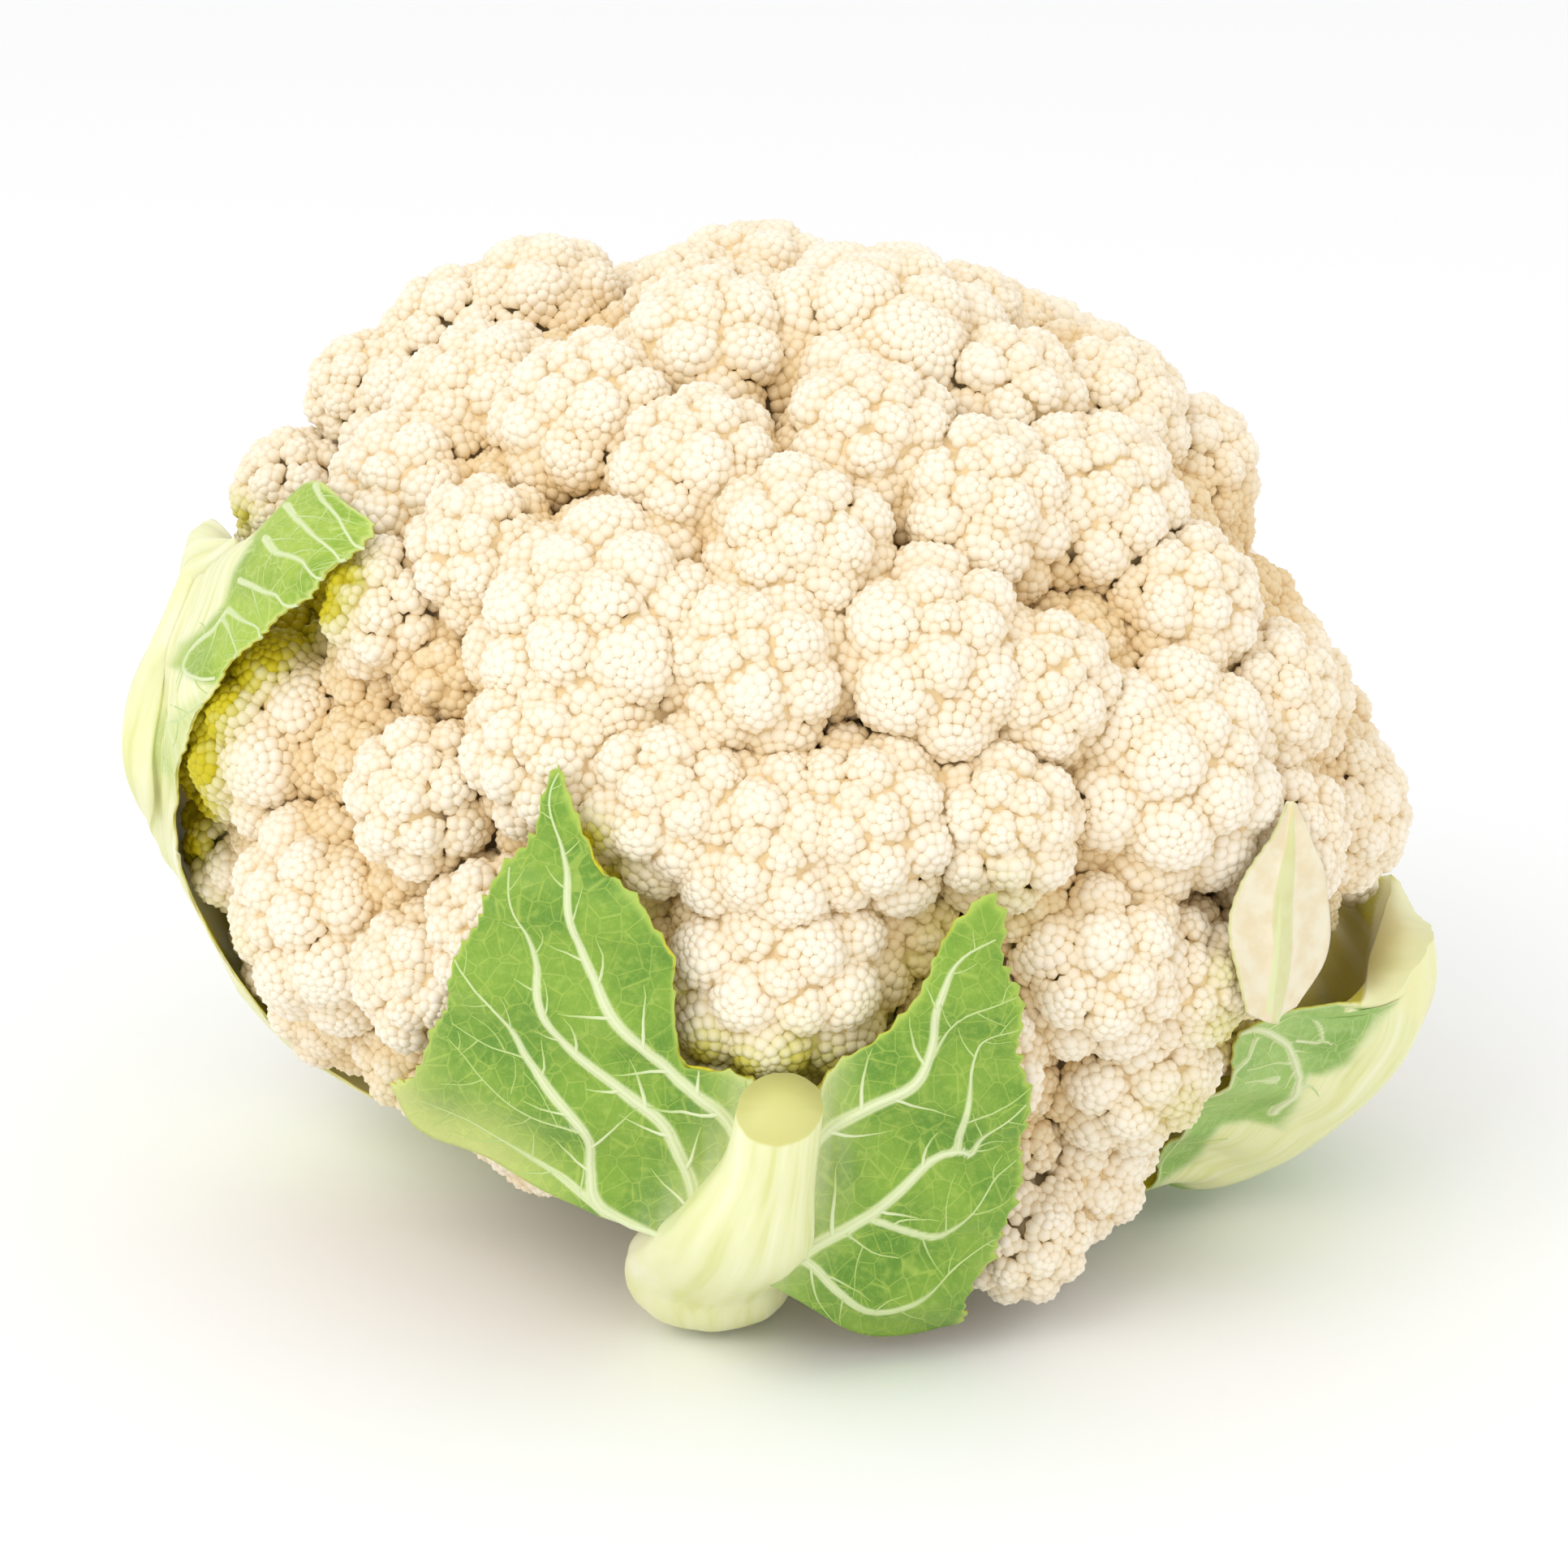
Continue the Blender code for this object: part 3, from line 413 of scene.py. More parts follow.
    def solid_knobs(self, centre: Array, radius: float) -> list[tuple[Array, float]]:
        """The knobs that the part's solid has on one floret."""
        axis, side, other = self.axes(centre)
        knobs = [(centre, radius * self.body_share)]
        for index in range(self.knobs_a_floret):
            share = math.sqrt((index + 0.4) / self.knobs_a_floret)
            lean = self.knob_spread * share
            turn = GOLDEN_ANGLE * index
            aside = math.cos(turn) * side + math.sin(turn) * other
            outward = math.cos(lean) * axis + math.sin(lean) * aside
            size = radius * self.knob_share * (0.72 + 0.34 * share)
            knobs.append((centre + outward * radius * self.knob_reach, size))
        return knobs

    def core_reach(self, ways: Array) -> Array:
        """How far the core reaches each way: an ellipsoid with a shallow cone under it."""
        reach = self.core_share / np.linalg.norm(ways / SIGHT.half, axis=-1)
        for _ in range(3):
            aside = SIGHT.from_stalk(SIGHT.centre + ways * reach[..., None])
            slope = self.underside_top - self.underside_slope * (aside - self.underside_flat)
            least = np.clip(slope, self.underside_least, self.underside_top)
            below = ways[..., 2] < self.down_level
            limit = (least - SIGHT.centre[2]) / np.where(below, ways[..., 2], -1.0)
            reach = np.where(below, np.minimum(reach, limit), reach)
        return reach

    def reach(self, ways: Array, centres: Array, radii: Array) -> Array:
        """How far the core and a set of knobs reach each way from the head's middle.

        Args:
            ways: directions of length one.
            centres: the knobs' middles.
            radii: the knobs' radii.

        Returns:
            One distance for each direction, no lower than the florets' foot.
        """
        shape = ways.shape
        ways = ways.reshape(-1, 3)
        reach = self.core_reach(ways)
        away = centres - SIGHT.centre
        for start in range(0, len(radii), self.knobs_at_once):
            part = slice(start, start + self.knobs_at_once)
            far = np.linalg.norm(away[part], axis=1)
            middle = unit(np.mean(away[part] / far[:, None], axis=0))
            leans = np.arccos(np.clip(away[part] @ middle / far, -1.0, 1.0)) + np.arcsin(radii[part] / far)
            near = np.flatnonzero(ways @ middle > math.cos(leans.max()))
            found, local = reach[near], ways[near]
            for centre, radius in zip(away[part], radii[part]):
                along = local @ centre
                inside = along * along - centre @ centre + radius * radius
                out = along + np.sqrt(np.maximum(inside, 0.0))
                found = np.where((inside > 0.0) & (out > found), out, found)
            reach[near] = found
        return self.above_foot(ways, reach).reshape(shape[:-1])

    def above_foot(self, ways: Array, reach: Array) -> Array:
        """The same reach, kept above the florets' foot and over the top of the stalk."""
        down = ways[..., 2] < self.down_level
        below = np.where(down, ways[..., 2], -1.0)
        reach = np.where(down, np.minimum(reach, (self.foot - SIGHT.centre[2]) / below), reach)
        aside = SIGHT.from_stalk(SIGHT.centre + ways * reach[..., None])
        under = down & (aside < self.underside_flat)
        flat = (self.underside_top - SIGHT.centre[2]) / below
        return np.where(under, np.minimum(reach, flat), reach)

    def solid_reach(self, ways: Array) -> Array:
        """How far the part's solid reaches each way."""
        return self.reach(ways, self.knob_centres, self.knob_radii)


class Socket:
    """One output of a node, with the arithmetic that the trees use."""

    def __init__(self, tree: "Tree", link: bpy.types.NodeSocket) -> None:
        """Keeps the socket and the tree that it belongs to."""
        self.tree = tree
        self.link = link

    def _math(self, operation: str, first: "Value", second: "Value", clamp: bool = False) -> "Socket":
        """A Math node over two values."""
        settings = {"operation": operation, "use_clamp": clamp}
        return self.tree.node("ShaderNodeMath", settings, {0: first, 1: second})

    def __add__(self, other: "Value") -> "Socket":
        """The sum."""
        return self._math("ADD", self, other)

    __radd__ = __add__

    def __mul__(self, other: "Value") -> "Socket":
        """The product."""
        return self._math("MULTIPLY", self, other)

    __rmul__ = __mul__

    def __sub__(self, other: "Value") -> "Socket":
        """The difference."""
        return self._math("SUBTRACT", self, other)

    def __rsub__(self, other: "Value") -> "Socket":
        """A number less this socket."""
        return self._math("SUBTRACT", other, self)

    def __truediv__(self, other: "Value") -> "Socket":
        """The quotient."""
        return self._math("DIVIDE", self, other)

    def __pow__(self, other: "Value") -> "Socket":
        """The power."""
        return self._math("POWER", self, other)

    def sine(self) -> "Socket":
        """The sine of an angle."""
        return self._math("SINE", self, 0.0)

    def cosine(self) -> "Socket":
        """The cosine of an angle."""
        return self._math("COSINE", self, 0.0)

    def most(self, other: "Value") -> "Socket":
        """The larger of two values."""
        return self._math("MAXIMUM", self, other)

    def clamped(self) -> "Socket":
        """The value kept between zero and one."""
        return self._math("ADD", self, 0.0, clamp=True)

    def between(self, low: float, high: float, start: float = 0.0, end: float = 1.0) -> "Socket":
        """The value taken from one range to another, smoothly and without passing its ends."""
        settings = {"interpolation_type": "SMOOTHSTEP"}
        return self.tree.node("ShaderNodeMapRange", settings, {0: self, 1: low, 2: high, 3: start, 4: end})


Value = Socket | float | tuple


class Tree:
    """A node tree that is written as expressions."""

    def __init__(self, tree: bpy.types.NodeTree) -> None:
        """Keeps the tree that the nodes go in."""
        self.tree = tree

    def node(self, kind: str, settings: dict, inputs: dict, output: int | str = 0) -> Socket:
        """Adds one node.

        Args:
            kind: the node's type.
            settings: its properties, set first.
            inputs: values or links by socket name or index.
            output: which of its outputs is wanted.

        Returns:
            The wanted output.
        """
        made = self.tree.nodes.new(kind)
        for name, value in settings.items():
            setattr(made, name, value)
        for key, value in inputs.items():
            self.feed(made.inputs[key], value)
        return Socket(self, made.outputs[output])

    def feed(self, socket: bpy.types.NodeSocket, value: Value) -> None:
        """Links a socket, or sets its constant."""
        if isinstance(value, Socket):
            self.tree.links.new(value.link, socket)
        else:
            socket.default_value = value


class Graph(Tree):
    """A material's node graph around one Principled shader."""

    def __init__(self, name: str) -> None:
        """Starts an empty material with a Principled shader and an output."""
        self.material = bpy.data.materials.new(name)
        self.material.use_nodes = True
        super().__init__(self.material.node_tree)
        self.tree.nodes.clear()
        self.shader = self.tree.nodes.new("ShaderNodeBsdfPrincipled")
        out = self.tree.nodes.new("ShaderNodeOutputMaterial")
        self.tree.links.new(self.shader.outputs[0], out.inputs["Surface"])

    def attribute(self, name: str) -> Socket:
        """A number kept on the mesh."""
        return self.node("ShaderNodeAttribute", {"attribute_name": name}, {}, "Fac")

    def place(self, name: str = "") -> Socket:
        """The object's coordinates, or a vector kept on the mesh."""
        if name:
            return self.node("ShaderNodeAttribute", {"attribute_name": name}, {}, "Vector")
        return self.node("ShaderNodeTexCoord", {}, {}, "Object")

    def noise(self, place: Socket, scale: float, detail: float = 3.0) -> Socket:
        """Smooth noise from zero to one."""
        return self.node("ShaderNodeTexNoise", {}, {"Vector": place, "Scale": scale, "Detail": detail})

    def cells(self, place: Socket, scale: float) -> Socket:
        """How far a place is from the edges of scattered cells."""
        settings = {"feature": "DISTANCE_TO_EDGE"}
        return self.node("ShaderNodeTexVoronoi", settings, {"Vector": place, "Scale": scale}, "Distance")

    def mix(self, first: Value, second: Value, share: Value) -> Socket:
        """One colour turning into another."""
        return self.node("ShaderNodeMix", {"data_type": "RGBA"}, {0: share, 6: first, 7: second}, 2)

    def bump(self, height: Socket, strength: float, distance: float) -> Socket:
        """A relief for the shader's normal."""
        return self.node("ShaderNodeBump", {}, {"Strength": strength, "Distance": distance, "Height": height})

    def finish(self, inputs: dict) -> bpy.types.Material:
        """Feeds the shader and gives the material."""
        for name, value in inputs.items():
            self.feed(self.shader.inputs[name], value)
        return self.material


def linear(red: int, green: int, blue: int) -> tuple[float, float, float, float]:
    """A screen colour of 0 to 255 as the shader's linear colour."""
    parts = [c / 255.0 for c in (red, green, blue)]
    values = [c / 12.92 if c <= 0.04045 else ((c + 0.055) / 1.055) ** 2.4 for c in parts]
    return values[0], values[1], values[2], 1.0


@dataclass(frozen=True)
class CurdFinish:
    """Cream beads: pale tips, painted warm shade between them, painted leaf light beside the leaves."""

    # From tip through side to the foot colour: painted shade that darkens and warms each bead towards its
    # foot.
    tip: tuple = linear(252, 244, 228)
    side: tuple = linear(251, 240, 218)
    groove_shade: tuple = linear(247, 230, 196)
    # Painted shade deep in the creases between knobs and florets.
    deep: tuple = linear(238, 210, 156)
    # Painted leaf light on the curd: dull yellow-green light through and off the leaves, deep yellow where
    # strongest.
    leaf_light_olive: tuple = linear(212, 206, 104)
    leaf_light_amber: tuple = linear(206, 192, 22)
    roughness: float = 0.48

    def material(self) -> bpy.types.Material:
        """Builds the curd's material."""
        graph = Graph("curd_beads")
        place = graph.place()
        tip = graph.attribute("tip")
        shade = graph.attribute("shade")
        green = graph.attribute("green")
        patches = graph.noise(place, 28.0)
        # Painted shade between the beads: warmer and darker towards each bead's foot, paler at its tip.
        bead = graph.mix(self.groove_shade, self.side, tip.between(0.0, 0.55))
        bead = graph.mix(bead, self.tip, tip.between(0.45, 1.0) * patches.between(0.30, 0.62, 0.55, 1.0))
        # Painted shade in the creases, by the shade value.
        bead = graph.mix(bead, self.deep, (shade ** 1.2 * 0.8).clamped())
        # Painted leaf light: yellow-green where light through and off the leaves falls, less on the bead
        # tips.
        colour = graph.mix(bead, self.leaf_light_olive, (green * (1.15 - 0.55 * tip)).clamped())
        grain = graph.noise(place, 1900.0, 2.0)
        # Painted leaf light: deep yellow where it is strongest.
        colour = graph.mix(colour, self.leaf_light_amber, ((green - 0.9) * 2.2).clamped())
        return graph.finish({
            "Base Color": colour,
            "Roughness": self.roughness,
            "Specular IOR Level": 0.35,
            "Normal": graph.bump(grain, 0.10, 0.0002),
        })


@dataclass(frozen=True)
class LeafFinish:
    """A green blade with pale veins, a fine net between them, and a pale rib."""

    name: str
    blade: tuple = linear(132, 170, 56)
    shadow: tuple = linear(98, 145, 42)
    light: tuple = linear(184, 207, 92)
    vein: tuple = linear(222, 232, 178)
    rib: tuple = linear(237, 238, 188)
    rib_shade: tuple = linear(224, 226, 154)
    rib_pale: tuple = linear(246, 246, 214)
    cut: tuple = linear(215, 213, 134)
    # Painted light: the yellow of light passing through the leaf, laid on its inner face.
    inner: tuple = linear(212, 202, 34)
    sun: tuple = linear(222, 226, 140)
    cells: float = 0.30

    def material(self) -> bpy.types.Material:
        """Builds the leaf's material."""
        graph = Graph(self.name)
        flat = graph.place("flat")
        vein = graph.attribute("vein")
        pale = graph.attribute("pale")
        edge = graph.attribute("edge")
        mottle = graph.noise(flat, 0.09, 4.0)
        fine = graph.noise(flat, 0.7, 3.0)
        blade = graph.mix(self.shadow, self.blade, mottle.between(0.32, 0.60))
        blade = graph.mix(blade, self.light, (fine.between(0.45, 0.75) * 0.35).clamped())
        net = 1.0 - graph.cells(flat, self.cells).between(0.0, 0.045)
        mesh = 1.0 - graph.cells(flat, self.cells * 2.7).between(0.0, 0.06)
        blade = graph.mix(blade, self.light, (net * 0.5).most(mesh * 0.2))
        blade = graph.mix(blade, self.light, edge.between(0.55, 1.0, 0.0, 0.85))
        blade = graph.mix(blade, self.sun, graph.attribute("sun") * 0.7)
        blade = graph.mix(blade, self.vein, vein.between(0.25, 0.75))
        streaks = graph.noise(graph.place("streak"), 1.0, 3.0)
        rib = graph.mix(self.rib_shade, self.rib, streaks.between(0.30, 0.55))
        rib = graph.mix(rib, self.rib_pale, streaks.between(0.52, 0.78))
        colour = graph.mix(blade, rib, pale)
        colour = graph.mix(colour, self.cut, graph.attribute("cut"))
        # Painted light through the leaf on its inner face, by the glow value.
        colour = graph.mix(colour, self.inner, graph.attribute("glow") * 0.9)
        relief = (net * 0.6 + mesh * 0.25 + fine * 0.5) * (1.0 - pale)
        return graph.finish({
            "Base Color": colour,
            "Roughness": 0.42,
            "Specular IOR Level": 0.4,
            "Subsurface Weight": 0.22,
            "Subsurface Radius": (0.8, 1.0, 0.35),
            "Subsurface Scale": 0.0016,
            "Normal": graph.bump(relief, 0.30, 0.0004),
        })


@dataclass(frozen=True)
class VeinFinish:
    """Pale vein cords, greener where they are fine."""

    stout: tuple = linear(226, 234, 188)
    fine: tuple = linear(176, 206, 104)

    def material(self) -> bpy.types.Material:
        """Builds the veins' material."""
        graph = Graph("leaf_vein")
        colour = graph.mix(self.fine, self.stout, graph.attribute("tone").between(0.12, 0.75))
        return graph.finish({"Base Color": colour, "Roughness": 0.42, "Specular IOR Level": 0.4})


@dataclass(frozen=True)
class InnerLeafFinish:
    """A cream inner leaf with a pale green middle and tiny green teeth."""

    cream: tuple = linear(243, 232, 204)
    warm: tuple = linear(237, 219, 182)
    green: tuple = linear(196, 212, 120)
    rib: tuple = linear(226, 232, 176)

    def material(self) -> bpy.types.Material:
        """Builds the inner leaf's material."""
        graph = Graph("inner_leaf")
        flat = graph.place("flat")
        vein = graph.attribute("vein")
        edge = graph.attribute("edge")
        pale = graph.attribute("pale")
        body = graph.mix(self.cream, self.warm, graph.noise(flat, 0.25, 4.0).between(0.35, 0.65))
        body = graph.mix(body, self.green, pale.between(0.8, 1.0, 0.0, 0.5))
        body = graph.mix(body, self.rib, vein.between(0.2, 0.8, 0.0, 0.9))
        body = graph.mix(body, self.green, edge.between(0.80, 1.0, 0.0, 0.5))
        return graph.finish({
            "Base Color": body,
            "Roughness": 0.45,
            "Subsurface Weight": 0.35,
            "Subsurface Radius": (1.0, 0.8, 0.5),
            "Subsurface Scale": 0.002,
            "Normal": graph.bump(graph.noise(flat, 1.1, 3.0), 0.2, 0.0003),
        })


@dataclass(frozen=True)
class StalkFinish:
    """The pale waxy trunk, woody and browner on its cut butt."""

    pale: tuple = linear(236, 240, 205)
    green: tuple = linear(206, 217, 146)
    cut: tuple = linear(240, 232, 204)
    brown: tuple = linear(205, 178, 130)

    def material(self) -> bpy.types.Material:
        """Builds the stalk's material."""
        graph = Graph("stalk_flesh")
        place = graph.place()
        streak = graph.noise(graph.place("streak"), 1.0, 4.0)
        side = graph.mix(self.green, self.pale, streak.between(0.3, 0.65))
        rings = graph.noise(place, 420.0, 4.0)
        butt = graph.mix(self.cut, self.brown, rings.between(0.45, 0.75, 0.0, 0.6))
        colour = graph.mix(side, butt, graph.attribute("butt"))
        return graph.finish({
            "Base Color": colour,
            "Roughness": 0.5,
            "Subsurface Weight": 0.25,
            "Subsurface Radius": (0.8, 0.9, 0.4),
            "Subsurface Scale": 0.002,
            "Normal": graph.bump(streak + rings * 0.5, 0.25, 0.0004),
        })


def spiral(count: int, widest: float, growth: float) -> tuple[Array, Array, Array]:
    """Places in a golden spiral over a ball of radius one.

    Args:
        count: how many places.
        widest: how far the last one leans from the axis.
        growth: one half spreads them evenly, and more makes them closer near the axis.

    Returns:
        The lean, the turn and the spacing at each place.
    """
    index = np.arange(count) + 0.5
    lean = widest * (index / count) ** growth
    spacing = np.sqrt(math.tau * np.sin(lean) * growth * lean / index)
    return lean, GOLDEN_ANGLE * index, spacing


def leaning(axis: Array, lean: Array, turn: Array) -> Array:
    """Directions that lean from an axis, each by its own angle and turn."""
    side = unit(np.cross(axis, np.array([0.31, 0.17, 0.94])))
    other = np.cross(axis, side)
    aside = np.cos(turn)[:, None] * side + np.sin(turn)[:, None] * other
    return np.cos(lean)[:, None] * axis + np.sin(lean)[:, None] * aside


def placed(name: str, data: bpy.types.ID) -> bpy.types.Object:
    """A new object in the scene, at the origin."""
    made = bpy.data.objects.new(name, data)
    bpy.context.scene.collection.objects.link(made)
    return made


class Growth:
    """A Geometry Nodes tree with named inputs, which is run over a mesh and made plain."""

    def __init__(self, name: str, inputs: dict[str, str]) -> None:
        """Starts the tree.

        Args:
            name: the tree's name.
            inputs: the socket type of each named input beside the mesh.
        """
        self.group = bpy.data.node_groups.new(name, "GeometryNodeTree")
        self.tree = Tree(self.group)
        sockets = self.group.interface
        sockets.new_socket("Geometry", in_out="OUTPUT", socket_type="NodeSocketGeometry")
        sockets.new_socket("Geometry", in_out="INPUT", socket_type="NodeSocketGeometry")
        self.inputs = {
            key: sockets.new_socket(key, in_out="INPUT", socket_type=kind).identifier
            for key, kind in inputs.items()}
        source = self.group.nodes.new("NodeGroupInput")
        self.given = {key: Socket(self.tree, source.outputs[key]) for key in (*inputs, "Geometry")}

    def named(self, name: str, kind: str = "FLOAT") -> Socket:
        """Reads a named attribute of the mesh."""
        return self.tree.node("GeometryNodeInputNamedAttribute", {"data_type": kind}, {"Name": name})

    def close(self, grown: Socket, material: bpy.types.Material) -> None:
        """Ends the tree with real geometry, smooth shading and the material."""
        real = self.tree.node("GeometryNodeRealizeInstances", {}, {"Geometry": grown})
        smooth = self.tree.node("GeometryNodeSetShadeSmooth", {}, {"Geometry": real})
        finished = self.tree.node("GeometryNodeSetMaterial", {}, {"Geometry": smooth, "Material": material})
        out = self.group.nodes.new("NodeGroupOutput")
        self.group.links.new(finished.link, out.inputs["Geometry"])

    def grow(self, name: str, base: bpy.types.Mesh, values: dict[str, float | int]) -> bpy.types.Object:
        """Runs the tree over a mesh.

        Args:
            name: the piece's name.
            base: what the tree grows on.
            values: the named inputs' values.

        Returns:
            The piece, as a plain mesh.
        """
        holder = placed(name + "_base", base)
        growth = holder.modifiers.new("growth", "NODES")
        growth.node_group = self.group
        for key, value in values.items():
            growth[self.inputs[key]] = value
        graph = bpy.context.evaluated_depsgraph_get()
        mesh = bpy.data.meshes.new_from_object(holder.evaluated_get(graph))
        bpy.data.objects.remove(holder)
        return placed(name, mesh)


class Beads(Growth):
    """Sets a small dome on each point of a mesh."""

    def __init__(self, material: bpy.types.Material) -> None:
        """Builds the tree."""
        whole, number = "NodeSocketInt", "NodeSocketFloat"
        super().__init__("curd_beads", {
            "Sides": whole, "Rings": whole, "Wrap": number, "Stretch": number, "Seed": whole})
        tree, given = self.tree, self.given
        dome = self.dome()
        outward = self.named("outward", "FLOAT_VECTOR")
        size = self.named("size")
        roll = tree.node("FunctionNodeRandomValue", {"data_type": "FLOAT"},
                         {2: 0.0, 3: math.tau, "Seed": given["Seed"]}, 1)
        turned = tree.node("ShaderNodeCombineXYZ", {}, {"Z": roll})
        upright = tree.node("FunctionNodeAlignRotationToVector", {"axis": "Z"}, {"Vector": outward})
        rotation = tree.node("FunctionNodeRotateRotation", {"rotation_space": "LOCAL"},
                             {"Rotation": upright, "Rotate By": turned})
        spread = tree.node("ShaderNodeCombineXYZ", {}, {"X": size, "Y": size, "Z": size * given["Stretch"]})
        set_out = tree.node("GeometryNodeInstanceOnPoints", {}, {
            "Points": given["Geometry"], "Instance": dome, "Rotation": rotation, "Scale": spread})
        self.close(set_out, material)

    def dome(self) -> Socket:
        """A cone bent to a dome that wraps past its widest ring, with its height kept as tip."""
        tree, given = self.tree, self.given
        cone = tree.node("GeometryNodeMeshCone", {"fill_type": "NONE"}, {
            "Vertices": given["Sides"], "Side Segments": given["Rings"],
            "Radius Top": 0.0, "Radius Bottom": 1.0, "Depth": 1.0})
        place = tree.node("GeometryNodeInputPosition", {}, {})
        parts = tree.node("ShaderNodeSeparateXYZ", {}, {"Vector": place})
        along, aside, height = (Socket(tree, parts.link.node.outputs[axis]) for axis in "XYZ")
        lean = (1.0 - height) * given["Wrap"]
        reach = lean.sine() / (1.0 - height).most(0.001)
        bent = tree.node("ShaderNodeCombineXYZ", {}, {
            "X": along * reach, "Y": aside * reach, "Z": lean.cosine()})
        marked = tree.node("GeometryNodeStoreNamedAttribute", {"data_type": "FLOAT", "domain": "POINT"}, {
            "Geometry": cone, "Name": "tip", "Value": height})
        return tree.node("GeometryNodeSetPosition", {}, {"Geometry": marked, "Position": bent})


def plain_mesh(name: str, places: Array, faces: Sequence, values: dict[str, Array]) -> bpy.types.Mesh:
    """A mesh in metres with values kept on its vertices.

    Args:
        name: the mesh's name.
        places: its vertices, in millimetres.
        faces: vertex numbers of each face; none for loose points.
        values: attributes by name, as numbers or vectors.

    Returns:
        The mesh, shaded smooth.
    """
    mesh = bpy.data.meshes.new(name)
    mesh.from_pydata((places * MM).tolist(), [], faces)
    for key, value in values.items():
        kind, slot = ("FLOAT_VECTOR", "vector") if value.ndim == 2 else ("FLOAT", "value")
        made = mesh.attributes.new(key, kind, "POINT")
        made.data.foreach_set(slot, np.ascontiguousarray(value, dtype=np.float32).ravel())
    if faces:
        mesh.shade_smooth()
    return mesh


def shown(name: str, mesh: bpy.types.Mesh, material: bpy.types.Material) -> bpy.types.Object:
    """An object at the origin with one material."""
    mesh.materials.clear()
    mesh.materials.append(material)
    return placed(name, mesh)


@dataclass
class Curd:
    """The head: florets, knobs in a spiral over each floret, and beads over each knob."""

    head: Head
    knobs: int = 24
    knob_lean: float = math.radians(112.0)
    knob_growth: float = 0.75
    knob_fill: float = 0.68
    knob_largest: float = 0.45
    knob_sink: float = 0.80
    least_knobs: int = 12
    knob_counts: tuple[float, float] = (0.85, 1.1)
    knob_sizes: tuple[float, float] = (0.86, 1.16)
    axis_jitter: float = 0.10
    lean_jitter: float = 0.02
    turn_jitter: float = 0.05
    bead_spacing: float = 1.9
    far_bead_spacing: float = 3.1
    bead_growth: float = 0.72
    bead_lean: float = math.radians(96.0)
    bead_fill: float = 0.80
    bead_sink: float = 0.75
    bead_jitter: float = 0.10
    bead_largest: float = 0.84
    bead_least: float = 0.6
    lone_bead: float = 1.02
    coarse_from: tuple[float, float] = (-20.0, 6.0)
    overhang: float = 7.0
    least_knob: float = 1.35
    buried: float = 0.93
    core_sink: float = 0.8
    core_step: float = 3.2
    flesh_under_top: float = 0.5
    bead_height: float = 1.12
    bare_places: int = 26000
    crease_reach: float = 1.7
    crease_sink: float = 0.2
    crease_shrink: float = 0.12
    crease_shade: float = 0.42
    depth_range: tuple[float, float] = (1.5, 13.0)
    leaf_light_range: tuple[float, float] = (-30.0, -14.0)
    lowest_bead: float = 1.0
    lowest_bare: float = 3.0
    tip_reach: float = 0.6
    core_subdivisions: int = 7
    bare_lowest: float = -0.85
    bare_gap: float = 0.4
    bare_size: float = 1.15
    piece_beads: int = 10400
    tree_values: tuple[tuple[str, float | int], ...] = (
        ("Sides", 6), ("Rings", 2), ("Wrap", math.radians(104.0)), ("Stretch", 1.05), ("Seed", 11))
    seed: int = 3
    # Florets too small for the solid: across, up and out, then the radius
    small_florets: tuple[tuple[tuple[float, float, float], float], ...] = (
        ((38.0, -58.5, -9.0), 7.5), ((35.0, -53.0, -9.5), 6.0),
    )
    # Where painted leaf light falls on the curd: across, up, radius and strength, on the view plane
    leaf_light_spots: tuple[tuple[float, float, float, float], ...] = (
        (-29.0, -8.2, 3.2, 1.5), (-25.3, -13.2, 3.2, 1.3), (-21.6, -18.2, 3.5, 0.9), (-16.6, -31.2, 3.5, 0.8),
        (-12.2, -39.9, 4.5, 1.2), (-6.1, -42.3, 4.0, 1.3), (2.5, -41.5, 5.0, 1.2), (7.5, -43.0, 5.0, 1.2),
        (15.5, -36.0, 5.0, 0.95), (20.5, -29.3, 5.0, 0.8), (24.5, -21.9, 5.0, 0.7), (33.2, -17.0, 5.0, 0.4),
        (-66.0, 31.5, 4.0, 1.5), (-69.0, 27.5, 4.6, 1.9), (-72.5, 23.0, 4.2, 1.9), (-77.0, 19.5, 3.8, 1.9),
        (-81.0, 16.5, 3.8, 1.9), (-84.5, 13.0, 4.2, 1.9), (-87.0, 8.0, 4.4, 1.9), (-88.0, 2.5, 4.6, 1.9),
        (-87.8, -3.5, 4.4, 1.9), (-88.6, -9.5, 4.0, 1.7), (-86.8, -19.9, 3.6, 1.5), (-84.6, -24.6, 3.4, 1.3),
        (-81.0, 40.0, 3.0, 1.2),
        (82.0, -27.2, 6.0, 1.0), (76.0, -30.0, 4.0, 0.8), (60.0, -49.0, 5.0, 0.6), (66.5, -36.5, 4.0, 0.9),
        (66.5, -28.0, 3.0, 0.7), (-56.0, -46.0, 5.0, 0.3),
    )

    def grow(self) -> None:
        """Works out every knob and bead."""
        rng = np.random.default_rng(self.seed)
        florets = self.head.florets + [(SIGHT.seen(*place), radius) for place, radius in self.small_florets]
        sets = [self.floret_knobs(centre, radius, rng) for centre, radius in florets]
        self.knob_centres = np.concatenate([made[0] for made in sets])
        self.knob_radii = np.concatenate([made[1] for made in sets])
        self.knob_ways = np.concatenate([made[2] for made in sets])
        self.place_beads(rng)

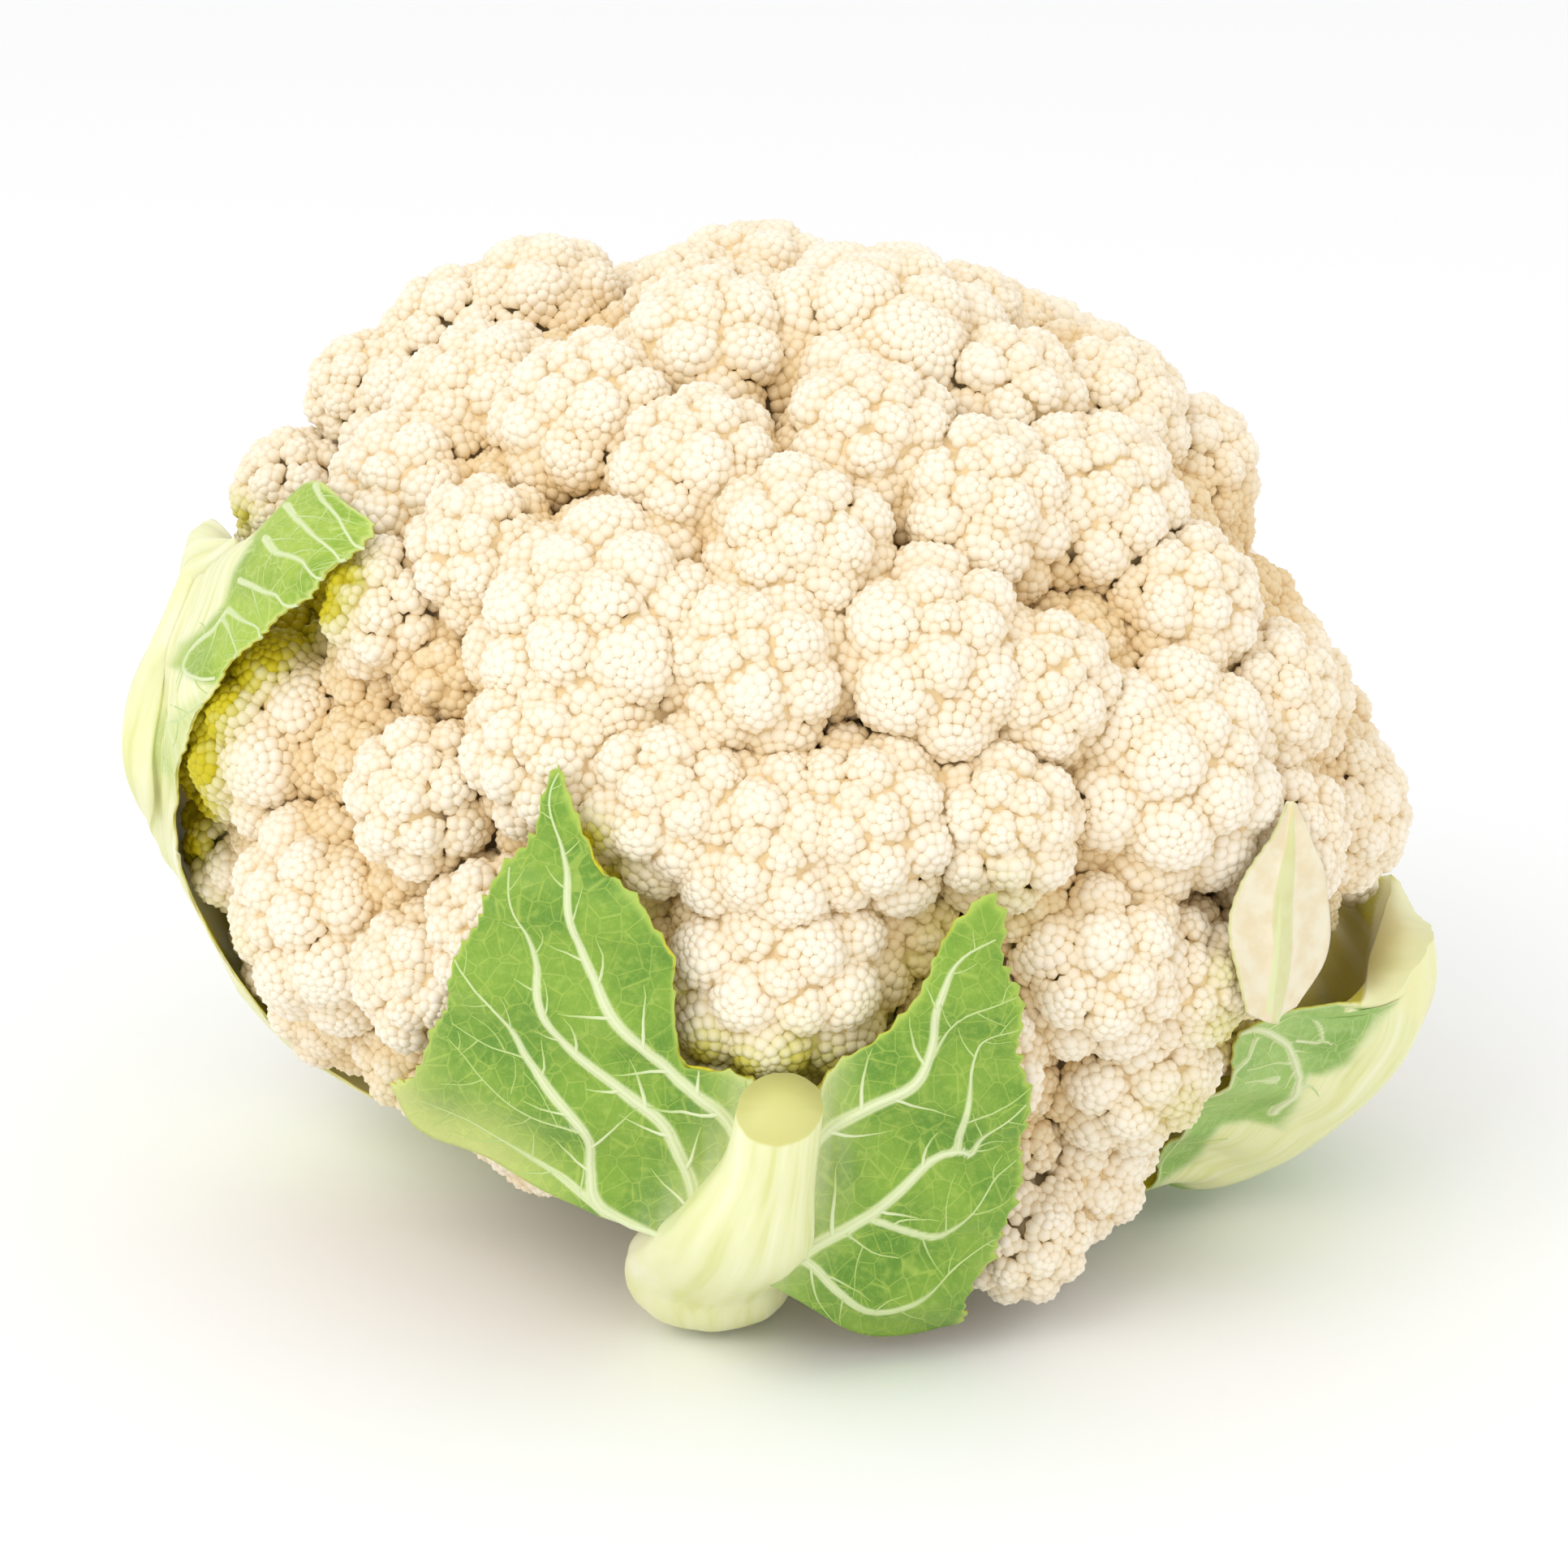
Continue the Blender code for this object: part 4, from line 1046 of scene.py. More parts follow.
    def floret_knobs(
            self, centre: Array, radius: float, rng: np.random.Generator) -> tuple[Array, Array, Array]:
        """The knobs of one floret.

        Args:
            centre: the floret's middle.
            radius: its radius.
            rng: the seeded draw.

        Returns:
            Their middles, radii and outward ways.
        """
        axis = self.head.axes(centre)[0]
        axis = unit(axis + rng.normal(0.0, self.axis_jitter, 3))
        count = max(int(self.knobs * rng.uniform(*self.knob_counts)), self.least_knobs)
        lean, turn, spacing = spiral(count, self.knob_lean, self.knob_growth)
        lean = lean * (1.0 + rng.normal(0.0, self.lean_jitter, count))
        turn = turn + rng.uniform(0.0, math.tau)
        ways = leaning(axis, lean, turn + rng.normal(0.0, self.turn_jitter, count))
        sizes = np.minimum(self.knob_fill * spacing, self.knob_largest)
        sizes = sizes * rng.uniform(*self.knob_sizes, count) * radius
        away = radius - self.knob_sink * sizes
        return centre + ways * away[:, None], sizes, ways

    def place_beads(self, rng: np.random.Generator) -> None:
        """Sets beads over every knob and drops those that nothing shows."""
        _, _, front = on_view_plane(self.knob_centres)
        share = smoothstep(*self.coarse_from, front)
        spacings = self.far_bead_spacing + (self.bead_spacing - self.far_bead_spacing) * share
        rows: list[Array] = []
        wide = math.sin(self.bead_lean) * self.bead_growth * self.bead_lean
        for k, (centre, radius, way) in enumerate(zip(self.knob_centres, self.knob_radii, self.knob_ways)):
            if radius < self.least_knob:
                rows.append(np.array([[*centre, *way, radius * self.lone_bead, k]]))
                continue
            count = max(round(math.tau * wide * (radius / spacings[k]) ** 2), 5)
            lean, turn, apart = spiral(count, self.bead_lean, self.bead_growth)
            ways = leaning(way, lean, turn + rng.uniform(0.0, math.tau))
            sizes = self.bead_fill * apart * radius * (1.0 + rng.normal(0.0, self.bead_jitter, count))
            sizes = np.clip(sizes, self.bead_least, self.bead_largest * spacings[k])
            places = centre + ways * (radius - self.bead_sink * sizes)[:, None]
            rows.append(np.column_stack([places, ways, sizes, np.full(count, k)]))
        rows.append(self.bare())
        table = np.concatenate(rows)
        places, ways, sizes, owners = table[:, :3], table[:, 3:6], table[:, 6], table[:, 7].astype(int)
        keep = self.free(places, sizes, owners)
        places, ways, sizes, owners = places[keep], ways[keep], sizes[keep], owners[keep]
        self.bead_creases = self.creases(places, owners)
        self.bead_places = places - ways * (self.crease_sink * self.bead_creases)[:, None]
        self.bead_ways, self.bead_sizes = ways, sizes * (1.0 - self.crease_shrink * self.bead_creases)
        over = self.bead_places[:, 2] + self.bead_height * self.bead_sizes - CAD_BOX[1][2] / MM
        self.bead_places[:, 2] -= np.maximum(over, 0.0)

    def bare(self) -> Array:
        """Beads for the core where no knob covers it, as rows like those of the knobs' beads."""
        ways = ball_ways(self.bare_places)
        ways = ways[ways[:, 2] > self.bare_lowest]
        reach = self.reach(ways)
        core = self.head.above_foot(ways, self.head.core_reach(ways))
        places = SIGHT.centre + ways * (reach - self.bare_gap)[:, None]
        found = np.flatnonzero((reach - core < self.bare_gap) & (places[:, 2] > self.lowest_bare))
        sizes, owners = np.full(len(found), self.bare_size), np.full(len(found), -1.0)
        return np.column_stack([places[found], ways[found], sizes, owners])

    def creases(self, places: Array, owners: Array) -> Array:
        """How deep each bead lies between its own knob and the next, from zero to one."""
        finder = finder_of(places)
        gap = np.full(len(places), 9.0)
        for k, (centre, radius) in enumerate(zip(self.knob_centres.tolist(), self.knob_radii.tolist())):
            near = [found[1:] for found in finder.find_range(centre, radius + self.crease_reach)]
            if near:
                index, apart = np.array(near).T
                index = index.astype(int)
                others = owners[index] != k
                gap[index[others]] = np.minimum(gap[index[others]], apart[others] - radius)
        return smoothstep(self.crease_reach, -0.2, gap)

    def free(self, places: Array, sizes: Array, owners: Array) -> Array:
        """Which beads stand out of every other knob, and of the head as seen from its middle.

        Args:
            places: the beads' middles.
            sizes: their radii.
            owners: the knob that each grows on.

        Returns:
            One truth value for each bead.
        """
        away = places - SIGHT.centre
        distance = np.linalg.norm(away, axis=-1)
        ways = away / distance[:, None]
        lean = np.where(owners[:, None] >= 0, places - self.knob_centres[owners], away)
        tips = places + sizes[:, None] * self.tip_reach * unit(lean)
        keep = places[:, 2] > self.lowest_bead
        finder = finder_of(tips)
        for k, (centre, radius) in enumerate(zip(self.knob_centres.tolist(), self.knob_radii.tolist())):
            inside = np.array([found[1] for found in finder.find_range(centre, radius * self.buried)], int)
            keep[inside[owners[inside] != k]] = False
        found = np.flatnonzero(keep)
        reach = self.reach(ways[found])
        keep[found] = distance[found] > reach - self.overhang
        return keep

    def reach(self, ways: Array) -> Array:
        """How far the knobs reach each way from the head's middle."""
        return self.head.reach(ways, self.knob_centres, self.knob_radii)

    def depth(self, places: Array) -> Array:
        """How deep places lie in the creases, from zero to one."""
        away = places - SIGHT.centre
        distance = np.linalg.norm(away, axis=-1)
        general = 1.0 / np.linalg.norm(away / distance[:, None] / SIGHT.half, axis=-1)
        return smoothstep(*self.depth_range, general - distance)

    def painted_leaf_light(self, places: Array) -> Array:
        """How much painted leaf light falls on places on the curd, from zero to one."""
        across, up, front = on_view_plane(places)
        most = np.zeros(len(places))
        for x, y, radius, strength in self.leaf_light_spots:
            most = np.maximum(most, strength * falling(np.hypot(across - x, up - y), radius))
        return most * smoothstep(*self.leaf_light_range, front)

    def core(self, material: bpy.types.Material) -> bpy.types.Object:
        """The flesh that the beads grow on, drawn out to just under them."""
        shape = bmesh.new()
        bmesh.ops.create_icosphere(shape, subdivisions=self.core_subdivisions, radius=1.0)
        ways = unit(np.array([vertex.co for vertex in shape.verts]))
        faces = [[vertex.index for vertex in face.verts] for face in shape.faces]
        one, other = np.array([[vertex.index for vertex in edge.verts] for edge in shape.edges]).T
        shape.free()
        reach = self.head.reach(ways, self.knob_centres, np.maximum(self.knob_radii - self.core_sink, 0.3))
        for _ in range(2):
            least = reach.copy()
            np.minimum.at(least, one, reach[other])
            np.minimum.at(least, other, reach[one])
            reach = np.where(reach - least > self.core_step, least, reach)
        places = SIGHT.centre + ways * reach[:, None]
        places[:, 2] = np.minimum(places[:, 2], CAD_BOX[1][2] / MM - self.flesh_under_top)
        # The flesh shows only deep between the beads, so it takes the full painted crease shade.
        values = {"tip": np.full(len(places), 0.1), "shade": np.ones(len(places)), "green": self.painted_leaf_light(places)}
        # Its green value is the painted leaf light.
        return shown("curd_flesh", plain_mesh("curd_flesh", places, faces, values), material)

    def build(self, material: bpy.types.Material) -> list[bpy.types.Object]:
        """Makes the flesh and the beads, the beads in sectors round the head."""
        self.grow()
        pieces = [self.core(material)]
        beads = Beads(material)
        away = self.bead_places - SIGHT.centre
        order = np.argsort(np.arctan2(away[:, 0], -away[:, 1]))
        sectors = math.ceil(len(order) / self.piece_beads)
        for index, part in enumerate(np.array_split(order, sectors)):
            places = self.bead_places[part]
            values = {
                "size": self.bead_sizes[part] * MM, "outward": self.bead_ways[part],
                # Painted shade: depth below the head's outline, and nearness to the next knob.
                "shade": np.clip(self.depth(places) + self.crease_shade * self.bead_creases[part], 0.0, 1.0),
                # The green value is the painted leaf light on the curd.
                "green": self.painted_leaf_light(places),
            }
            name = f"curd_beads_{index + 1}"
            points = plain_mesh(name + "_points", places, [], values)
            pieces.append(beads.grow(name, points, dict(self.tree_values)))
        log.info("curd: %d knobs, %d beads", len(self.knob_radii), len(order))
        return pieces


def outward_mesh(mesh: bpy.types.Mesh) -> bpy.types.Mesh:
    """The same mesh with its faces turned outwards."""
    shape = bmesh.new()
    shape.from_mesh(mesh)
    bmesh.ops.recalc_face_normals(shape, faces=shape.faces)
    shape.to_mesh(mesh)
    shape.free()
    return mesh


def closed_tube(name: str, rings: Array, values: dict[str, Array]) -> bpy.types.Mesh:
    """A closed tube through rings, with a middle point at each end.

    Args:
        name: the mesh's name.
        rings: the points, ring by ring.
        values: attributes by name, one value or vector for each point.

    Returns:
        The mesh.
    """
    count, sides = rings.shape[:2]
    numbers = np.arange(count * sides).reshape(count, sides)
    after = np.roll(numbers, -1, axis=1)
    faces = np.stack([numbers[:-1], after[:-1], after[1:], numbers[1:]], axis=-1).reshape(-1, 4).tolist()
    ends = count * sides
    faces += [(int(a), int(b), ends) for a, b in zip(numbers[0], after[0])]
    faces += [(int(a), int(b), ends + 1) for a, b in zip(numbers[-1], after[-1])]
    places = np.concatenate([rings.reshape(-1, 3), [rings[0].mean(axis=0), rings[-1].mean(axis=0)]])
    kept = {}
    for key, value in values.items():
        value = value.reshape((ends,) + value.shape[2:])
        kept[key] = np.concatenate([value, value[[0, -1]]])
    return outward_mesh(plain_mesh(name, places, faces, kept))


def net_grid(net: Sequence, rows: int, columns: int) -> Array:
    """A fine grid of points through a coarse net of them."""
    net = np.asarray(net, float)
    long_way = curve_of(net, rows)
    across = curve_of(long_way.swapaxes(0, 1), columns)
    return across.swapaxes(0, 1)


def patch_grid(edges: dict[str, Sequence[Point2]], rows: int, columns: int) -> Array:
    """A flat grid within four edges: rib and margin run up its sides, foot below and head above."""
    side_a, side_c = curve_of(edges["rib"], rows)[:, None], curve_of(edges["margin"], rows)[:, None]
    head, foot = curve_of(edges["head"], columns)[None], curve_of(edges["foot"], columns)[None]
    u = np.linspace(0.0, 1.0, columns)[None, :, None]
    v = np.linspace(0.0, 1.0, rows)[:, None, None]
    low = (1 - u) * side_a[:1] + u * side_c[:1]
    high = (1 - u) * side_a[-1:] + u * side_c[-1:]
    return (1 - v) * foot + v * head + (1 - u) * side_a + u * side_c - (1 - v) * low - v * high


def neighbours(values: Array) -> list[Array]:
    """The grid and its eight shifted copies."""
    padded = np.pad(values, 1, mode="edge")
    rows, columns = values.shape
    return [padded[i:i + rows, j:j + columns] for i in range(3) for j in range(3)]


def spread_most(values: Array, times: int = 1) -> Array:
    """Each value raised to the largest near it on the grid."""
    for _ in range(times):
        values = np.max(neighbours(values), axis=0)
    return values


def spread_mean(values: Array, times: int = 1) -> Array:
    """Each value evened with those near it on the grid."""
    for _ in range(times):
        values = np.mean(neighbours(values), axis=0)
    return values


def evened(grid: Array, times: int) -> Array:
    """A grid of points or ways, each evened with those near it."""
    return np.stack([spread_mean(grid[..., k], times) for k in range(3)], axis=-1)


def clear_of(grid: Array, reach: Callable[[Array], Array], clearance: float, most: int, mean: int) -> Array:
    """The same sheet, moved outwards wherever it would come into the curd.

    Args:
        grid: the sheet's points.
        reach: how far the curd reaches each way.
        clearance: the gap that is left.
        most: how many grid steps the push is carried sideways.
        mean: how often it is evened.

    Returns:
        The moved points.
    """
    away = grid - SIGHT.centre
    distance = np.linalg.norm(away, axis=-1)
    ways = away / distance[..., None]
    short = np.maximum(reach(ways) + clearance - distance, 0.0)
    push = spread_mean(spread_most(short, most), mean)
    return SIGHT.centre + ways * (distance + np.maximum(push, short))[..., None]


@dataclass(frozen=True)
class Vein:
    """A vein's route in a sheet's flat, and its width where it starts and ends."""

    route: tuple[Point2, ...]
    start: float
    end: float
    branch_steps: ClassVar[int] = 6
    branch_turns: ClassVar[tuple[float, float]] = (48.0, 66.0)
    branch_least: ClassVar[float] = 4.0
    branch_growth: ClassVar[float] = 9.0
    branch_width: ClassVar[float] = 0.42

    def line(self, step: float = 1.0) -> Array:
        """Close places along the route."""
        corners = np.asarray(self.route, float)
        length = np.linalg.norm(np.diff(corners, axis=0), axis=1).sum()
        return curve_of(corners, max(int(length / step), 4) + 1)

    def branches(self, pitch: float, rng: np.random.Generator) -> list["Vein"]:
        """Finer veins that leave this one by turns to its left and right.

        Args:
            pitch: how far apart they leave it.
            rng: the seeded draw.

        Returns:
            The finer veins.
        """
        line = self.line(0.5)
        way = unit(np.gradient(line, axis=0))
        made = []
        side = 1.0 if rng.random() < 0.5 else -1.0
        at = pitch * 2.0 * rng.uniform(0.4, 0.8)
        while at < len(line) - 4:
            index = int(at)
            leave = math.radians(rng.uniform(*self.branch_turns))
            turn = math.atan2(way[index][1], way[index][0]) + side * leave
            longest = self.branch_least + self.branch_growth * (1.0 - index / len(line))
            step = rng.uniform(0.55, 1.0) * longest / self.branch_steps
            points = [line[index]]
            for _ in range(self.branch_steps):
                turn += -side * rng.uniform(0.0, 0.16) + rng.normal(0.0, 0.10)
                points.append(points[-1] + step * np.array([math.cos(turn), math.sin(turn)]))
            wide = (self.start + (self.end - self.start) * index / len(line)) * self.branch_width
            made.append(Vein(tuple(map(tuple, points)), max(wide, 0.3), 0.16))
            side = -side
            at += pitch * 2.0 * rng.uniform(0.6, 1.0)
        return made


@dataclass
class Sheet:
    """A leaf's sheet: its inner face, its thickness, and what its finish reads."""

    inner: Array
    thick: Array
    flat: Array
    pale: Array
    edge: Array
    vein: Array = field(init=False)
    sun: Array = field(init=False)
    facet: Array = field(init=False)
    outward: Array = field(init=False)
    veins: list[Vein] = field(default_factory=list)

    def __post_init__(self) -> None:
        """Works out which way the sheet faces."""
        self.vein, self.sun, self.facet = (np.zeros(self.thick.shape) for _ in range(3))
        outward = unit(np.cross(np.gradient(self.inner, axis=0), np.gradient(self.inner, axis=1)))
        outward = unit(evened(outward, 5))
        facing_out = np.sum(outward * (self.inner - SIGHT.centre)) >= 0.0
        self.outward = outward if facing_out else -outward

    @property
    def outer(self) -> Array:
        """The outer face."""
        return self.inner + self.outward * self.thick[..., None]

    def raise_veins(self, veins: Iterable[Vein], height: float) -> None:
        """Lifts the outer face along the stout veins and marks them for the finish.

        Args:
            veins: the veins, in the flat.
            height: how far a vein stands up, as a share of its width.
        """
        for vein in veins:
            apart, along = distance_to(vein.line(1.5), self.flat)
            wide = vein.start + (vein.end - vein.start) * along
            self.veins.append(vein)
            strong = smoothstep(0.5, 1.1, wide)
            self.thick = self.thick + strong * height * wide * falling(apart, 0.8 * wide + 0.4)
            self.vein = np.maximum(self.vein, strong * falling(apart, 0.42 * wide + 0.2))

    def quilt(self, amount: float) -> None:
        """Lets the blade swell between its stout veins."""
        nearest = np.full(self.thick.shape, 99.0)
        for vein in self.veins:
            nearest = np.minimum(nearest, distance_to(vein.line(1.5), self.flat)[0])
        swell = amount * smoothstep(0.5, 6.0, nearest) * (1.0 - self.pale)
        self.inner = self.inner - self.outward * swell[..., None]

    def place(self, points: Array) -> tuple[Array, Array]:
        """The outer face's points and ways out at places in the flat, kept within the sheet."""
        rows, columns = self.thick.shape
        cells = self.flat.reshape(-1, 2)
        outer = self.outer
        du = np.gradient(self.flat, axis=1)
        dv = np.gradient(self.flat, axis=0)
        found, ways = [], []
        for point in points:
            r, c = divmod(int(np.argmin(np.sum((cells - point) ** 2, axis=1))), columns)
            spread = np.column_stack([dv[r, c], du[r, c]])
            step = np.linalg.lstsq(spread, point - self.flat[r, c], rcond=None)[0]
            y = min(max(r + float(np.clip(step[0], -1.0, 1.0)), 0.0), rows - 1.001)
            x = min(max(c + float(np.clip(step[1], -1.0, 1.0)), 0.0), columns - 1.001)
            i, j, a, b = int(y), int(x), y % 1.0, x % 1.0
            low = outer[i, j] * (1.0 - b) + outer[i, j + 1] * b
            high = outer[i + 1, j] * (1.0 - b) + outer[i + 1, j + 1] * b
            found.append(low * (1.0 - a) + high * a)
            ways.append(self.outward[i, j])
        return np.array(found), np.array(ways)

    def mesh(self, name: str) -> bpy.types.Mesh:
        """The closed sheet as a mesh, its two faces joined round the rim."""
        rows, columns = self.thick.shape
        count = rows * columns
        numbers = np.arange(count).reshape(rows, columns)
        corners = [numbers[:-1, :-1], numbers[:-1, 1:], numbers[1:, 1:], numbers[1:, :-1]]
        quads = np.stack(corners, axis=-1).reshape(-1, 4)
        rim = np.concatenate([numbers[0, :-1], numbers[:-1, -1], numbers[-1, :0:-1], numbers[:0:-1, 0]])
        after = np.roll(rim, -1)
        sides = np.stack([rim, after, after + count, rim + count], axis=-1)
        faces = np.concatenate([quads[:, ::-1], quads + count, sides])
        places = np.concatenate([self.inner.reshape(-1, 3), self.outer.reshape(-1, 3)])
        both = {"vein": self.vein, "pale": self.pale, "edge": self.edge, "sun": self.sun, "cut": self.facet}
        values = {key: np.tile(value.ravel(), 2) for key, value in both.items()}
        flat = np.column_stack([self.flat.reshape(-1, 2), np.zeros(count)])
        values["flat"] = np.tile(flat, (2, 1))
        values["streak"] = np.tile(flat * np.array([0.55, 0.045, 0.0]), (2, 1))
        # The inner face, all but the cut facet, takes the painted light through the leaf.
        values["glow"] = np.concatenate([1.0 - self.facet.ravel(), np.zeros(count)])
        return outward_mesh(plain_mesh(name, places, faces.tolist(), values))


class VeinTubes(Growth):
    """Draws a tapering tube along each chain of edges."""

    sides = 6
    step = 1.4
    sink = 0.45
    full_tone = 0.5

    def __init__(self, material: bpy.types.Material) -> None:
        """Builds the tree."""
        super().__init__("leaf_veins", {"Sides": "NodeSocketInt"})
        chains = self.tree.node("GeometryNodeMeshToCurve", {}, {"Mesh": self.given["Geometry"]})
        ring = self.tree.node("GeometryNodeCurvePrimitiveCircle", {"mode": "RADIUS"}, {
            "Resolution": self.given["Sides"], "Radius": 1.0})
        tubes = self.tree.node("GeometryNodeCurveToMesh", {}, {
            "Curve": chains, "Profile Curve": ring, "Scale": self.named("wide"), "Fill Caps": True})
        self.close(tubes, material)

    def draw(self, name: str, sheets: Sequence[tuple[Sheet, Sequence[Vein]]]) -> bpy.types.Object:
        """Draws the veins of one leaf.

        Args:
            name: the piece's name.
            sheets: each sheet with its veins.

        Returns:
            The piece, as a plain mesh.
        """
        points, widths, tones, chains = [], [], [], []
        for sheet, veins in sheets:
            for vein in veins:
                line = vein.line(self.step)
                places, ways = sheet.place(line)
                share = np.linspace(0.0, 1.0, len(line))
                radius = 0.5 * (vein.start + (vein.end - vein.start) * share)
                first = sum(map(len, points))
                chains += [(first + k, first + k + 1) for k in range(len(line) - 1)]
                points.append(places - ways * (self.sink * radius)[:, None])
                widths.append(radius * MM)
                tones.append(np.clip(radius / self.full_tone, 0.0, 1.0))
        mesh = bpy.data.meshes.new(name + "_routes")
        mesh.from_pydata((np.concatenate(points) * MM).tolist(), chains, [])
        for key, value in (("wide", np.concatenate(widths)), ("tone", np.concatenate(tones))):
            mesh.attributes.new(key, "FLOAT", "POINT").data.foreach_set("value", value.astype(np.float32))
        return self.grow(name, mesh, {"Sides": self.sides})


def fine_veins(sheet: Sheet, veins: Sequence[Vein], pitch: float, rng: np.random.Generator) -> list[Vein]:
    """The stout veins' own tubes and the finer ones that leave them.

    Args:
        sheet: the sheet that they lie in; a branch ends where it leaves it.
        veins: the stout veins; a branch ends where it meets another of them.
        pitch: how far apart branches start.
        rng: the seeded draw.

    Returns:
        All the veins to draw.
    """
    made = [Vein(vein.route, vein.start * 0.5, vein.end * 0.75) for vein in veins]
    lines = [vein.line(1.0) for vein in veins]
    cells = sheet.flat.reshape(-1, 2)
    for number, vein in enumerate(veins):
        others = lines[:number] + lines[number + 1:]
        for branch in vein.branches(pitch, rng):
            kept = []
            for point in branch.route:
                if np.min(np.sum((cells - point) ** 2, axis=1)) > 0.8:
                    break
                kept.append(point)
                if any(np.min(np.linalg.norm(line - point, axis=1)) < 0.7 for line in others):
                    break
            if len(kept) > 2:
                made.append(Vein(tuple(kept), branch.start, branch.end))
    return made


def along_edge(line: Array) -> Array:
    """Millimetres run along a line of points."""
    return np.concatenate([[0.0], np.cumsum(np.linalg.norm(np.diff(line, axis=0), axis=-1))])


def margin_shares(count: int, near: bool) -> Array:
    """One at an edge column, falling to zero a few columns in."""
    steps = np.arange(count) if near else np.arange(count)[::-1]
    return np.clip(1.0 - steps / 4.0, 0.0, 1.0) ** 1.7


def saw(run: Array, pitch: float, depth: float, phase: float = 0.0) -> Array:
    """Fine teeth over broader lobes along an edge."""
    fine = 1.0 - np.abs(((run / pitch + phase) % 1.0) * 2.0 - 1.0) ** 0.8
    uneven = 0.65 + 0.35 * np.sin(run * 0.9 + phase) * np.sin(run * 0.37 + 2.0 * phase)
    broad = np.sin(run * math.tau / (pitch * 5.3) + phase)
    return depth * (fine * uneven - 0.4) + 0.45 * depth * broad


@dataclass
class Margins:
    """Which edges of a sheet are toothed, and how thin the sheet gets there."""

    near: float = 0.0
    far: float = 0.0
    top: float = 0.0
    pitch: float = 2.2
    thin: float = 0.38
    reach: float = 2.2

    def cut(self, grid: Array) -> Array:
        """Teeth cut into the sheet's edges, in its own surface."""
        grid = grid.copy()
        rows, columns = grid.shape[:2]
        for depth, near, phase in ((self.near, True, 0.3), (self.far, False, 1.1)):
            if depth > 0.0:
                column = 0 if near else -1
                line, inner = grid[:, column], grid[:, 3 if near else -4]
                way = unit(line - inner)
                teeth = saw(along_edge(line), self.pitch, depth, phase)
                shares = margin_shares(columns, near)
                grid += way[:, None] * teeth[:, None, None] * shares[None, :, None]
        if self.top > 0.0:
            line, inner = grid[-1], grid[-4]
            teeth = saw(along_edge(line), self.pitch * 1.15, self.top, 0.7)
            shares = margin_shares(rows, False)
            grid += unit(line - inner)[None] * teeth[None, :, None] * shares[:, None, None]
        return grid

    def nearness(self, flat: Array) -> Array:
        """How near the toothed margins places are, from zero to one."""
        found = np.zeros(flat.shape[:2])
        for depth, edge in ((self.near, flat[:, :1]), (self.far, flat[:, -1:]), (self.top, flat[-1:])):
            if depth > 0.0:
                found = np.maximum(found, np.exp(-np.linalg.norm(flat - edge, axis=-1) / self.reach))
        return found


